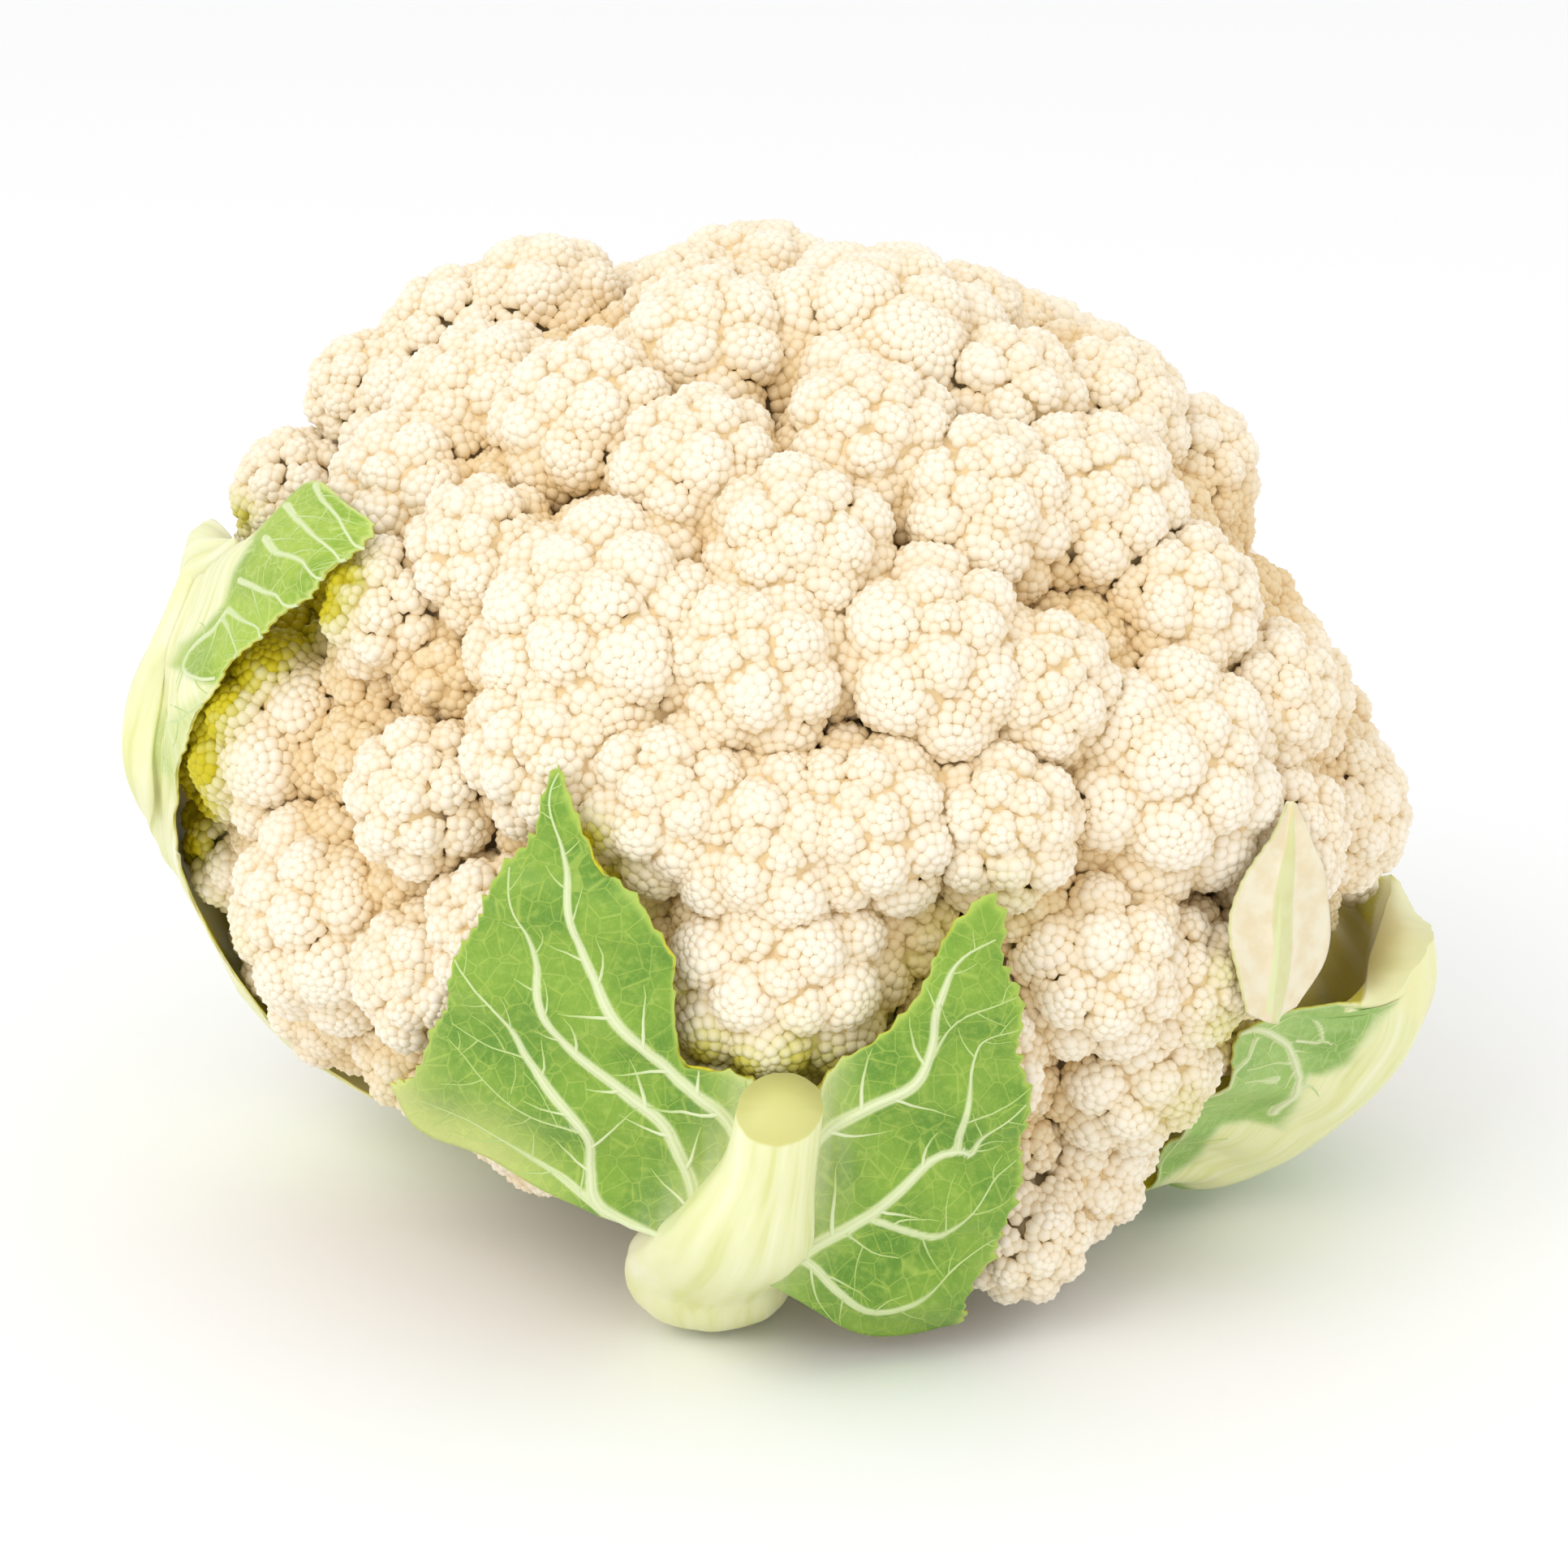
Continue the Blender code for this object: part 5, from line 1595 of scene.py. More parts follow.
@dataclass
class FrontLeaf:
    """The torn front leaf: a stout cut rib with a toothed blade on each side."""

    head: Head
    curd: Curd
    rows: int = 104
    columns: int = 64
    solid_grid: tuple[int, int] = (19, 13)
    clearance: float = 1.6
    thickness: float = 0.75
    low_flare: float = 6.5
    low_start: float = -56.0
    low_span: float = 28.0
    foot: float = 2.0
    rib_sides: int = 72
    rib_rings: int = 96
    rib_gap: float = 0.5
    cut_low: Point2 = (0.0, -53.4)
    cut_high: Point2 = (0.0, -44.6)
    branch_pitch: float = 6.0
    vein_height: float = 0.22
    swelling: float = 0.5
    wave: float = 0.9
    wave_least: float = -0.4
    under_foot: float = 0.4
    top_tear: float = 1.6
    curd_gap: float = 0.9
    rib_swell: float = 2.6
    pale_reach: float = 6.0
    sun_reach: float = 7.0
    seed: int = 21
    left_edges: dict[str, tuple[Point2, ...]] = field(default_factory=lambda: {
        "rib": ((-14.5, -67.5), (-9.0, -60.0), (-4.5, -52.0), (-2.5, -45.5)),
        "head": ((-2.5, -45.5), (-11.0, -42.0), (-15.0, -41.0), (-16.8, -32.0), (-16.6, -25.0),
                 (-23.0, -16.5), (-28.0, -11.0), (-31.5, -3.0), (-33.5, 2.9)),
        "margin": ((-58.5, -46.0), (-53.5, -39.5), (-49.5, -29.0), (-45.5, -18.5), (-40.5, -11.0),
                   (-37.5, -6.0), (-34.9, 0.0), (-33.5, 2.9)),
        "foot": ((-14.5, -67.5), (-25.0, -64.5), (-36.0, -60.0), (-45.0, -55.5), (-54.5, -52.0),
                 (-58.5, -46.0)),
    })
    right_edges: dict[str, tuple[Point2, ...]] = field(default_factory=lambda: {
        "rib": ((-6.0, -72.0), (0.0, -64.0), (3.0, -55.0), (4.8, -45.5)),
        "head": ((4.8, -45.5), (9.5, -40.5), (16.5, -36.0), (20.5, -30.5), (24.0, -22.5), (29.6, -16.6)),
        "margin": ((25.4, -81.0), (29.5, -73.5), (34.5, -62.0), (36.3, -46.0), (34.5, -31.0), (32.6, -20.0),
                   (29.6, -16.6)),
        "foot": ((-6.0, -72.0), (3.0, -77.5), (10.5, -82.0), (18.0, -82.5), (25.4, -81.0)),
    })
    left_veins: tuple[Vein, ...] = (
        Vein(((-4.6, -54.0), (-9.2, -48.6), (-14.8, -44.4), (-19.9, -39.3), (-25.5, -33.7), (-29.2, -26.8),
              (-31.3, -19.9), (-32.5, -11.9), (-34.3, -3.2), (-33.6, 1.4)), 2.5, 0.5),
        Vein(((-10.0, -67.0), (-12.0, -64.4), (-13.9, -57.8), (-17.6, -50.4), (-22.3, -46.7), (-30.2, -40.7),
              (-33.8, -36.5), (-36.1, -31.4), (-37.1, -25.3), (-39.9, -18.4), (-40.7, -12.8)), 2.6, 0.5),
        Vein(((-14.0, -70.0), (-17.0, -68.0), (-26.9, -62.5), (-28.7, -57.0), (-29.2, -50.9), (-35.3, -44.4),
              (-38.1, -40.7), (-41.2, -35.2), (-45.5, -29.6), (-48.4, -26.6)), 2.4, 0.5),
        Vein(((-26.9, -62.5), (-36.0, -56.5), (-46.0, -50.5), (-54.0, -46.5)), 1.2, 0.4),
        Vein(((-29.2, -50.9), (-36.0, -49.2), (-41.0, -46.2), (-46.0, -42.0), (-50.0, -38.0)), 0.9, 0.3),
        Vein(((-38.1, -40.7), (-44.0, -39.0), (-49.5, -35.5)), 0.8, 0.3),
    )
    right_veins: tuple[Vein, ...] = (
        Vein(((3.8, -52.6), (6.1, -50.9), (13.1, -47.4), (19.6, -43.9), (22.2, -38.3), (22.7, -32.2),
              (26.2, -26.3),
              (31.6, -23.0)), 2.5, 0.5),
        Vein(((0.0, -71.0), (3.0, -69.0), (13.1, -63.4), (20.6, -56.8), (25.7, -54.4), (27.8, -54.9),
              (30.2, -51.4), (35.6, -47.4)), 2.5, 0.5),
        Vein(((25.7, -54.4), (28.2, -41.3), (30.5, -37.6), (34.6, -36.2)), 1.2, 0.4),
        Vein(((22.3, -40.0), (26.0, -34.5), (30.5, -32.8), (34.2, -31.8)), 0.9, 0.35),
        Vein(((13.6, -64.5), (18.2, -66.4), (23.2, -67.2), (27.2, -63.4), (31.3, -58.9),
              (34.8, -56.0)), 1.3, 0.4),
        Vein(((3.0, -70.0), (5.1, -72.0), (8.1, -75.0), (13.1, -78.1), (19.6, -76.0), (28.2, -69.9),
              (31.8, -67.5)),
             1.5, 0.4),
        Vein(((9.0, -66.2), (13.0, -69.5), (17.0, -70.5)), 0.9, 0.35),
    )

    def rib_stations(self) -> list[tuple[Array, float, float]]:
        """The rib's middle line with its half widths and half depths, from its cut top to the stalk."""
        return [
            (SIGHT.seen(0.1, -44.0, 7.5), 5.4, 3.6), (SIGHT.seen(-1.0, -51.0, 8.0), 5.8, 4.2),
            (SIGHT.seen(-2.6, -58.5, 8.0), 6.6, 4.8), (SIGHT.seen(-6.2, -67.0, 7.5), 9.8, 5.8),
            (np.array([-8.5, -65.0, 14.5]), 11.7, 6.8), (np.array([-8.6, -58.5, 8.0]), 11.2, 7.0),
            (np.array([-6.2, -46.0, 8.0]), 9.9, 7.0), (np.array([-2.5, -32.0, 9.5]), 9.2, 7.0),
            (np.array([1.5, -12.0, 13.5]), 9.5, 7.0),
        ]

    def rib(self) -> bpy.types.Mesh:
        """The rib: an oval sweep with fine lengthwise ridges, cut slantwise at its top."""
        path = np.array([np.concatenate([point, [wide, deep]]) for point, wide, deep in self.rib_stations()])
        line = curve_of(path, self.rib_rings)
        right = np.array([1.0, 0.0, 0.0])
        forward = unit(np.gradient(line[:, :3], axis=0))
        wide_way = unit(right - forward * (forward @ right)[:, None])
        deep_way = np.cross(forward, wide_way)
        turn = np.linspace(0.0, math.tau, self.rib_sides, endpoint=False)[None]
        ridges = 1.0 + 0.008 * np.sin(9.0 * turn + 0.4) + 0.004 * np.sin(17.0 * turn)
        wide = (np.cos(turn) * ridges * line[:, 3:4])[..., None] * wide_way[:, None]
        deep = (np.sin(turn) * ridges * line[:, 4:5])[..., None] * deep_way[:, None]
        rings = line[:, None, :3] + wide + deep
        rings = clear_of(rings, self.head.solid_reach, self.rib_gap, 2, 1)
        rings, cut = self.slant(rings)
        along = along_edge(line[:, :3])[:, None]
        streak = stacked(np.abs(np.sin(turn * 0.5)) * 9.0, along * 0.04, 0.0 * cut)
        return closed_tube("leaf_front_rib", rings, {
            "pale": np.ones(cut.shape), "vein": 0.0 * cut, "edge": 0.0 * cut, "cut": cut,
            "flat": streak, "streak": streak})

    def slant(self, rings: Array) -> tuple[Array, Array]:
        """The rings from a slanting cut on, and how near the cut they are.

        Each lengthwise line of the tube is cut where it meets the plane, then spread anew.
        """
        low = SIGHT.seen(*self.cut_low, 11.8)
        high = SIGHT.seen(*self.cut_high, 5.0)
        normal = unit(np.cross(np.array([1.0, 0.0, 0.0]), unit(high - low)))
        if normal @ SIGHT.to_viewer < 0.0:
            normal = -normal
        above = (rings - low) @ normal
        count = len(rings)
        places = np.empty_like(rings)
        for side in range(rings.shape[1]):
            column = above[:count // 3, side]
            under = int(np.flatnonzero(column > 0.0)[-1]) if np.any(column > 0.0) else 0
            drop = column[under] - column[under + 1]
            start = under + (column[under] / drop if column[under] > 0.0 else 0.0)
            spread = start + (count - 1 - start) * np.linspace(0.0, 1.0, count) ** 1.05
            index = np.minimum(spread.astype(int), count - 2)
            share = (spread - index)[:, None]
            places[:, side] = rings[index, side] * (1.0 - share) + rings[index + 1, side] * share
        cut = np.zeros(rings.shape[:2])
        cut[0] = 1.0
        return places, cut

    def blade(self, edges: dict[str, Sequence], out: float, veins: Sequence[Vein], tear: float) -> Sheet:
        """One blade.

        Args:
            edges: its four edges on the view plane.
            out: how far it stands off the head.
            veins: its stout veins on the view plane.
            tear: how deep the teeth of its torn top edge are.

        Returns:
            The sheet.
        """
        coarse = self.lifted(patch_grid(edges, *self.solid_grid), out)
        coarse = clear_of(coarse, self.head.solid_reach, self.clearance, 2, 1)
        grid = net_grid(coarse, self.rows, self.columns)
        flat = patch_grid(edges, self.rows, self.columns)
        margins = Margins(far=1.7, top=self.top_tear * tear, pitch=2.7)
        grid = margins.cut(grid)
        aside = np.linalg.norm(flat - flat[:, :1], axis=-1)
        wave = self.wave * smoothstep(8.0, 26.0, aside) * np.sin(flat[..., 1] * 0.42 + 0.10 * flat[..., 0])
        outward = unit(grid - SIGHT.centre)
        grid = grid + outward * np.maximum(wave, self.wave_least)[..., None]
        grid = clear_of(grid, self.curd.reach, self.curd_gap, 3, 4)
        edge = margins.nearness(flat)
        swell = falling(aside, self.rib_swell)
        thick = margins.thin + (self.thickness - margins.thin) * (1.0 - edge) + self.rib_swell * swell
        sheet = Sheet(grid, thick, flat, np.maximum(swell, 0.6 * falling(aside, self.pale_reach)), edge)
        low = np.linalg.norm(flat - flat[:1], axis=-1)
        sheet.sun = falling(low, self.sun_reach) * smoothstep(-26.0, -46.0, flat[..., 0])
        sheet.raise_veins(veins, self.vein_height)
        sheet.quilt(self.swelling)
        sheet.inner[..., 2] = np.maximum(sheet.inner[..., 2], self.foot - self.under_foot)
        return sheet

    def lifted(self, flat: Array, out: float) -> Array:
        """A flat grid carried onto the head, flared at its foot and kept over the floor."""
        low = np.clip((self.low_start - flat[..., 1]) / self.low_span, 0.0, 1.0)
        grid = SIGHT.seen(flat[..., 0], flat[..., 1], out + self.low_flare * low)
        ray = unit(grid - SIGHT.eye)
        short = np.maximum(self.foot - grid[..., 2], 0.0)
        return grid + ray * (short / ray[..., 2])[..., None]

    def build(self, blade: bpy.types.Material, vein: VeinTubes) -> list[bpy.types.Object]:
        """Makes the rib, the two blades and their fine veins."""
        rng = np.random.default_rng(self.seed)
        pieces = [shown("leaf_front_rib", self.rib(), blade)]
        drawn = []
        for side, edges, out, veins, tear in (
                ("left", self.left_edges, 3.0, self.left_veins, 0.8),
                ("right", self.right_edges, 3.5, self.right_veins, 0.7)):
            sheet = self.blade(edges, out, veins, tear)
            name = f"leaf_front_blade_{side}"
            pieces.append(shown(name, sheet.mesh(name), blade))
            drawn.append((sheet, fine_veins(sheet, veins, self.branch_pitch, rng)))
        pieces.append(vein.draw("leaf_front_veins", drawn))
        return pieces


@dataclass(frozen=True)
class RibBand:
    """A thick band along a sheet; its place and width are shares of the sheet's width."""

    place: float
    start: float
    end: float
    width: float


@dataclass
class NetLeaf:
    """A leaf that is one sheet through a coarse net of points.

    Its rib is a thick band at one share of its width. What the photograph shows of its veins
    and of its green part is given on the view plane.
    """

    name: str
    net: Sequence
    solid_grid: tuple[int, int]
    grid: tuple[int, int]
    rib: RibBand
    margins: Margins
    clearance: float = 1.6
    thin: float = 0.75
    green: tuple[Point2, ...] = ()
    faint: tuple[Point2, ...] = ()
    veins: tuple[Vein, ...] = ()
    facet: tuple[Point2, ...] = ()
    side_veins: float = 0.0
    bands: float = 0.25
    ruffle: float = 0.0
    evened: int = 0
    branch_pitch: float = 5.0
    close: float = 0.9
    least_thick: float = 0.35
    wave_least: float = -0.3
    vein_height: float = 0.2
    least_facing: float = 0.12
    vein_from: float = 0.30
    vein_sizes: tuple[float, float] = (1.9, 0.5)
    seed: int = 5

    def sheet(self, head: Head, curd: Curd) -> Sheet:
        """The leaf's sheet, clear of the curd."""
        rows, columns = self.grid
        coarse = clear_of(net_grid(self.net, *self.solid_grid), head.solid_reach, self.clearance, 2, 1)
        grid = net_grid(coarse, rows, columns)
        grid = self.margins.cut(evened(grid, self.evened))
        grid = clear_of(grid, curd.reach, self.close, 2, 4 + self.evened // 2)
        u = np.linspace(0.0, 1.0, columns)[None]
        v = np.linspace(0.0, 1.0, rows)[:, None]
        share = falling(u - self.rib.place, self.rib.width)
        rib = self.rib.start + (self.rib.end - self.rib.start) * v
        flat = self.flat_of(grid, round(self.rib.place * (columns - 1)))
        edge = self.margins.nearness(flat)
        thin = self.margins.thin + (self.thin - self.margins.thin) * (1.0 - edge)
        bands = self.bands * share * (np.sin(flat[..., 0] * 1.15) + 0.5 * np.sin(flat[..., 0] * 2.3 + 1.0))
        thick = thin + (rib - thin) * share + bands
        wave = self.ruffle * (1.0 - share) * np.sin(flat[..., 1] * 0.55 + 2.0 * u)
        outward = unit(grid - SIGHT.centre)
        grid = grid + outward * np.maximum(wave, self.wave_least)[..., None]
        sheet = Sheet(grid, np.maximum(thick, self.least_thick), flat, self.paleness(grid, share), edge)
        if self.facet:
            across, up, _ = on_view_plane(grid)
            sheet.facet = smoothstep(-0.3, 0.3, inside_by(np.stack([across, up], axis=-1), self.facet))
        return sheet

    @staticmethod
    def flat_of(grid: Array, column: int) -> Array:
        """Millimetres across from the rib's column, and along the leaf."""
        across = np.cumsum(np.linalg.norm(np.diff(grid, axis=1, prepend=grid[:, :1]), axis=-1), axis=1)
        across = across - across[:, column:column + 1]
        steps = np.linalg.norm(np.diff(grid, axis=0, prepend=grid[:1]), axis=-1)
        along = np.cumsum(steps.mean(axis=1))[:, None]
        return np.stack([across, np.broadcast_to(along, across.shape)], axis=-1)

    def paleness(self, grid: Array, share: Array) -> Array:
        """How pale the leaf is: its rib, or all of it outside its green part."""
        if not self.green:
            return np.broadcast_to(smoothstep(0.15, 0.75, share), grid.shape[:2])
        across, up, _ = on_view_plane(grid)
        seen = np.stack([across, up], axis=-1)
        shown_part = unit(np.cross(np.gradient(grid, axis=0), np.gradient(grid, axis=1)))
        facing = np.abs(shown_part @ SIGHT.to_viewer) > self.least_facing
        pale = 1.0 - smoothstep(-0.7, 0.7, inside_by(seen, self.green)) * facing
        if self.faint:
            faint = smoothstep(-1.2, 1.2, inside_by(seen, self.faint)) * facing
            pale = np.minimum(pale, 1.0 - 0.4 * faint)
        return pale

    def seen_veins(self, sheet: Sheet) -> list[Vein]:
        """The veins that are given on the view plane, as routes in the sheet's flat."""
        across, up, _ = on_view_plane(sheet.outer)
        cells = np.stack([across, up], axis=-1).reshape(-1, 2)
        away = np.where((sheet.outward @ SIGHT.to_viewer).ravel() > 0.0, 0.0, 50.0)
        flat = sheet.flat.reshape(-1, 2)
        found = []
        for vein in self.veins:
            line = vein.line(1.6)
            route = [tuple(flat[np.argmin(np.linalg.norm(cells - point, axis=1) + away)]) for point in line]
            found.append(Vein(tuple(route), vein.start, vein.end))
        return found

    def ruled_veins(self, sheet: Sheet) -> list[Vein]:
        """Side veins that leave a middle rib by turns and lean towards the leaf's end."""
        if self.side_veins <= 0.0:
            return []
        rng = np.random.default_rng(self.seed)
        length = sheet.flat[-1, 0, 1]
        made = []
        at = length * self.vein_from
        while at < length - 4.0:
            for side, edge in ((-1.0, sheet.flat[..., 0].min()), (1.0, sheet.flat[..., 0].max())):
                reach = abs(edge) * rng.uniform(0.80, 0.94)
                rise = reach * rng.uniform(0.55, 0.8)
                start = at + side * self.side_veins * 0.22
                shares = ((0.0, 0.0), (0.25, 0.12), (0.55, 0.40), (0.8, 0.72), (1.0, 1.0))
                route = tuple((side * reach * a, start + rise * b) for a, b in shares)
                kept = tuple(point for point in route if point[1] < length - 1.0)
                if len(kept) > 2:
                    made.append(Vein(kept, *self.vein_sizes))
            at += self.side_veins * rng.uniform(0.85, 1.15)
        return made

    def build(self, head: Head, curd: Curd, blade: bpy.types.Material,
              tubes: VeinTubes | None) -> list[bpy.types.Object]:
        """Makes the leaf and its fine veins.

        Args:
            head: the part's solid head.
            curd: the grown curd.
            blade: the leaf's finish.
            tubes: draws the veins, or none for a leaf without them.

        Returns:
            The finished pieces.
        """
        sheet = self.sheet(head, curd)
        veins = self.seen_veins(sheet) + self.ruled_veins(sheet)
        sheet.raise_veins(veins, self.vein_height)
        pieces = [shown(self.name + "_sheet", sheet.mesh(self.name + "_sheet"), blade)]
        if tubes and veins:
            rng = np.random.default_rng(self.seed)
            fine = fine_veins(sheet, veins, self.branch_pitch, rng)
            pieces.append(tubes.draw(self.name + "_veins", [(sheet, fine)]))
        return pieces


def behind(point: Array, inward: float, back: float, up: float = 0.0) -> Array:
    """A point moved towards the middle of the head, back from the viewer and up."""
    side = math.copysign(1.0, SIGHT.head_centre[0] - point[0])
    return point + np.array([side * inward, back, up])


def leaf_base(azimuth: float, half_angle: float, count: int = 5) -> list[Array]:
    """The row of points where a leaf grows from the stalk."""
    return [SIGHT.by_stalk(azimuth + half_angle * k, 20.0, 13.0) for k in np.linspace(1.0, -1.0, count)]


def widened(row: Sequence[Array]) -> list[Array]:
    """A row of five points with two more before its fourth and one before its last."""
    a, b, c, d, e = (np.asarray(point, float) for point in row)
    return [a, b, c, c + (d - c) / 3.0, c + (d - c) * 2.0 / 3.0, d, (d + e) / 2.0, e]


def left_leaf() -> NetLeaf:
    """The left leaf: a broad pale body that hugs the curd, with a green flap folded over it."""
    around = SIGHT.around
    low = [
        leaf_base(-90.0, 30.0),
        [np.array([x, y, 12.5]) for x, y in ((-46, -13), (-49, -5), (-50, 3), (-49, 13), (-46, 24))],
        [around(a, 22, out) for a, out in ((-86, -6), (-90, -5), (-95, -4), (-104, -4), (-116, -4))],
        [around(a, z, out) for a, z, out in (
            (-85, 47, -3), (-87, 47, -3), (-90, 46, -3), (-98, 46, -3), (-112, 48, -2))],
    ]
    net = [widened(row) for row in low]
    rows = (
        (((-87.6, 3.0, 1), (-88.5, 3.0, 1), (-89.3, 2.5, 1),
          (-89.8, 2.3, 1), (-90.1, 2.1, 1), (-90.3, 2.0, 1)), (1.5, 12, 0), (5, 24, 0)),
        (((-81.0, 17.7, 2), (-84.5, 17.0, 2), (-88.0, 16.5, 2),
          (-89.2, 16.8, 2), (-90.6, 17.2, 1), (-91.7, 17.7, 1)), (1.5, 12, 0), (5, 23, 0)),
        (((-74.7, 23.8, 2), (-78.7, 25.2, 2), (-82.8, 26.6, 2),
          (-85.2, 26.6, 2), (-87.6, 26.4, 1), (-89.7, 26.0, 1)), (1.5, 11, 0), (5, 22, 0)),
        (((-64.6, 32.0, 2), (-71.5, 33.6, 3), (-79.0, 34.7, 3),
          (-81.8, 34.0, 2), (-84.4, 33.0, 1), (-86.5, 31.5, 1)), (1.5, 10, 0), (6, 20, 0)),
        (((-59.5, 38.3, 2), (-64.8, 42.6, 4), (-70.3, 46.8, 4),
          (-76.4, 36.6, 2), (-78.2, 36.4, 1), (-80.2, 35.8, 1)), (2, 7, -1), (7, 14, -4)),
    )
    for front, near, far in rows:
        points = [SIGHT.seen(*point) for point in front]
        net.append(points + [behind(points[-1], *near), behind(points[-1], *far)])
    net[-1][-2:] = [point - np.array([0.0, 0.0, drop]) for point, drop in zip(net[-1][-2:], (4.0, 7.0))]
    green = (
        (-70.3, 47.9), (-73.4, 43.6), (-75.8, 40.4), (-77.9, 37.7), (-79.2, 35.2), (-81.4, 31.5),
        (-82.9, 26.5),
        (-85.7, 23.1), (-88.8, 20.3), (-89.9, 17.3), (-88.1, 15.7), (-85.0, 14.6), (-80.5, 15.5),
        (-76.5, 18.5),
        (-72.5, 21.0), (-69.5, 24.0), (-66.0, 28.0), (-62.0, 31.0), (-58.0, 34.0), (-55.0, 38.0),
        (-60.0, 44.0),
        (-66.0, 49.0))
    faint = ((-84.5, 14.5), (-89.5, 11.2), (-92.4, 8.4), (-92.6, 3.0), (-90.5, -2.0), (-87.0, -2.0),
             (-87.0, 9.0))
    veins = (
        Vein(((-69.9, 44.6), (-69.2, 42.4), (-66.4, 39.6), (-65.2, 37.2), (-63.3, 35.3),
              (-62.1, 34.2)), 1.05, 0.75),
        Vein(((-74.4, 41.8), (-72.2, 39.0), (-69.8, 36.8), (-67.4, 34.7), (-66.1, 32.5),
              (-65.3, 31.9)), 1.1, 0.75),
        Vein(((-77.5, 36.8), (-76.1, 35.0), (-73.0, 33.8), (-70.8, 31.9), (-68.6, 29.7)), 1.1, 0.75),
        Vein(((-81.1, 30.3), (-78.4, 29.1), (-76.0, 28.2), (-74.2, 26.3), (-72.2, 24.6)), 1.1, 0.75),
        Vein(((-82.7, 25.8), (-81.2, 24.5), (-78.8, 23.5), (-78.4, 22.3), (-77.6, 21.1)), 1.0, 0.7),
        Vein(((-83.8, 24.8), (-82.5, 22.1), (-81.7, 20.1), (-81.7, 18.3)), 0.95, 0.6),
        Vein(((-82.8, 26.1), (-85.3, 22.9), (-88.4, 20.1), (-89.5, 17.3), (-88.1, 16.0),
              (-85.0, 15.6)), 1.2, 0.8),
        Vein(((-86.5, 12.1), (-89.3, 10.5), (-92.1, 8.7), (-92.6, 5.9), (-91.8, 1.3)), 0.9, 0.6),
    )
    return NetLeaf("leaf_left", net, solid_grid=(28, 17), grid=(168, 64), rib=RibBand(0.714, 4.6, 1.6, 0.24),
                   margins=Margins(near=1.5, top=0.25), green=green, faint=faint, veins=veins, evened=10)


def right_leaf() -> NetLeaf:
    """The right leaf: a stout curved rib, cut slantwise, with a crumpled green margin."""
    net = [leaf_base(72.0, -26.0)]
    net.append([np.array([x, y, 12.5]) for x, y in ((45, -30), (50, -23), (54, -15), (56, -5), (55, 7))])
    rows = (
        ((52.5, -60.5, -26), (55.5, -58.5, -24), (59.5, -55.5, -19), (61.5, -51.5, -10), (61.0, -43.0, 8)),
        ((57.2, -54.0, -32), (62.5, -53.5, -25), (68.5, -52.5, -18), (70.5, -48.0, -8), (69.0, -38.0, 12)),
        ((60.8, -48.0, -36), (68.5, -47.5, -27), (76.5, -47.0, -18), (78.5, -42.0, -6), (76.0, -32.0, 16)),
        ((65.5, -41.0, -38), (73.5, -41.0, -29), (83.0, -40.5, -18), (85.3, -35.0, -5), (81.0, -24.0, 19)),
        ((69.5, -35.0, -38), (77.5, -35.5, -29), (86.0, -34.5, -18), (88.0, -28.5, -5), (80.5, -17.5, 23)),
        ((78.5, -33.4, -35), (82.5, -33.5, -28), (86.8, -30.5, -19), (88.3, -24.5, -6), (82.0, -14.0, 23)),
        ((84.5, -32.4, -31), (86.0, -31.8, -27), (86.8, -28.5, -20), (88.2, -20.5, -8), (88.0, -13.0, 14)),
    )
    net += [[SIGHT.at_depth(*point) for point in row] for row in rows]
    green = (
        (86.4, -31.0), (83.5, -31.0), (79.3, -31.5), (73.8, -31.0), (68.0, -32.0), (65.0, -36.6),
        (63.0, -40.2),
        (60.0, -44.1), (57.0, -47.5), (53.0, -52.6), (51.0, -58.7), (50.0, -63.0), (53.2, -62.8),
        (55.6, -59.6),
        (61.7, -54.1), (64.7, -50.4), (68.4, -49.2), (72.0, -49.0), (75.0, -45.9), (76.8, -42.3),
        (78.3, -41.9),
        (81.7, -39.3), (84.7, -34.9))
    veins = (
        Vein(((68.2, -37.2), (70.3, -36.7), (72.4, -37.2), (74.9, -39.0), (76.4, -41.6), (76.8, -44.5),
              (75.8, -46.6), (72.8, -49.1)), 1.1, 1.9),
        Vein(((70.5, -38.0), (68.6, -41.6), (66.1, -43.9), (62.8, -44.5)), 1.1, 0.7),
        Vein(((74.9, -41.6), (72.0, -42.0), (69.0, -43.0)), 0.9, 0.5),
        Vein(((73.6, -44.3), (71.1, -44.5), (68.6, -44.9)), 1.1, 0.5),
        Vein(((79.1, -35.3), (80.1, -36.6), (80.1, -37.8), (79.5, -38.7), (76.1, -38.4)), 1.0, 0.8),
        Vein(((80.1, -38.0), (82.0, -38.9)), 0.9, 0.7),
        Vein(((62.5, -44.8), (60.5, -50.0), (57.0, -56.0), (54.0, -60.5)), 1.0, 0.6),
    )
    facet = ((90.0, -13.0), (97.5, -24.0), (97.5, -34.0), (94.0, -36.5), (86.3, -32.4), (88.4, -17.9))
    return NetLeaf("leaf_right", net, solid_grid=(31, 13), grid=(120, 64), rib=RibBand(0.66, 7.0, 8.5, 0.24),
                   margins=Margins(near=0.8), green=green, veins=veins, facet=facet, ruffle=0.9, close=1.2)


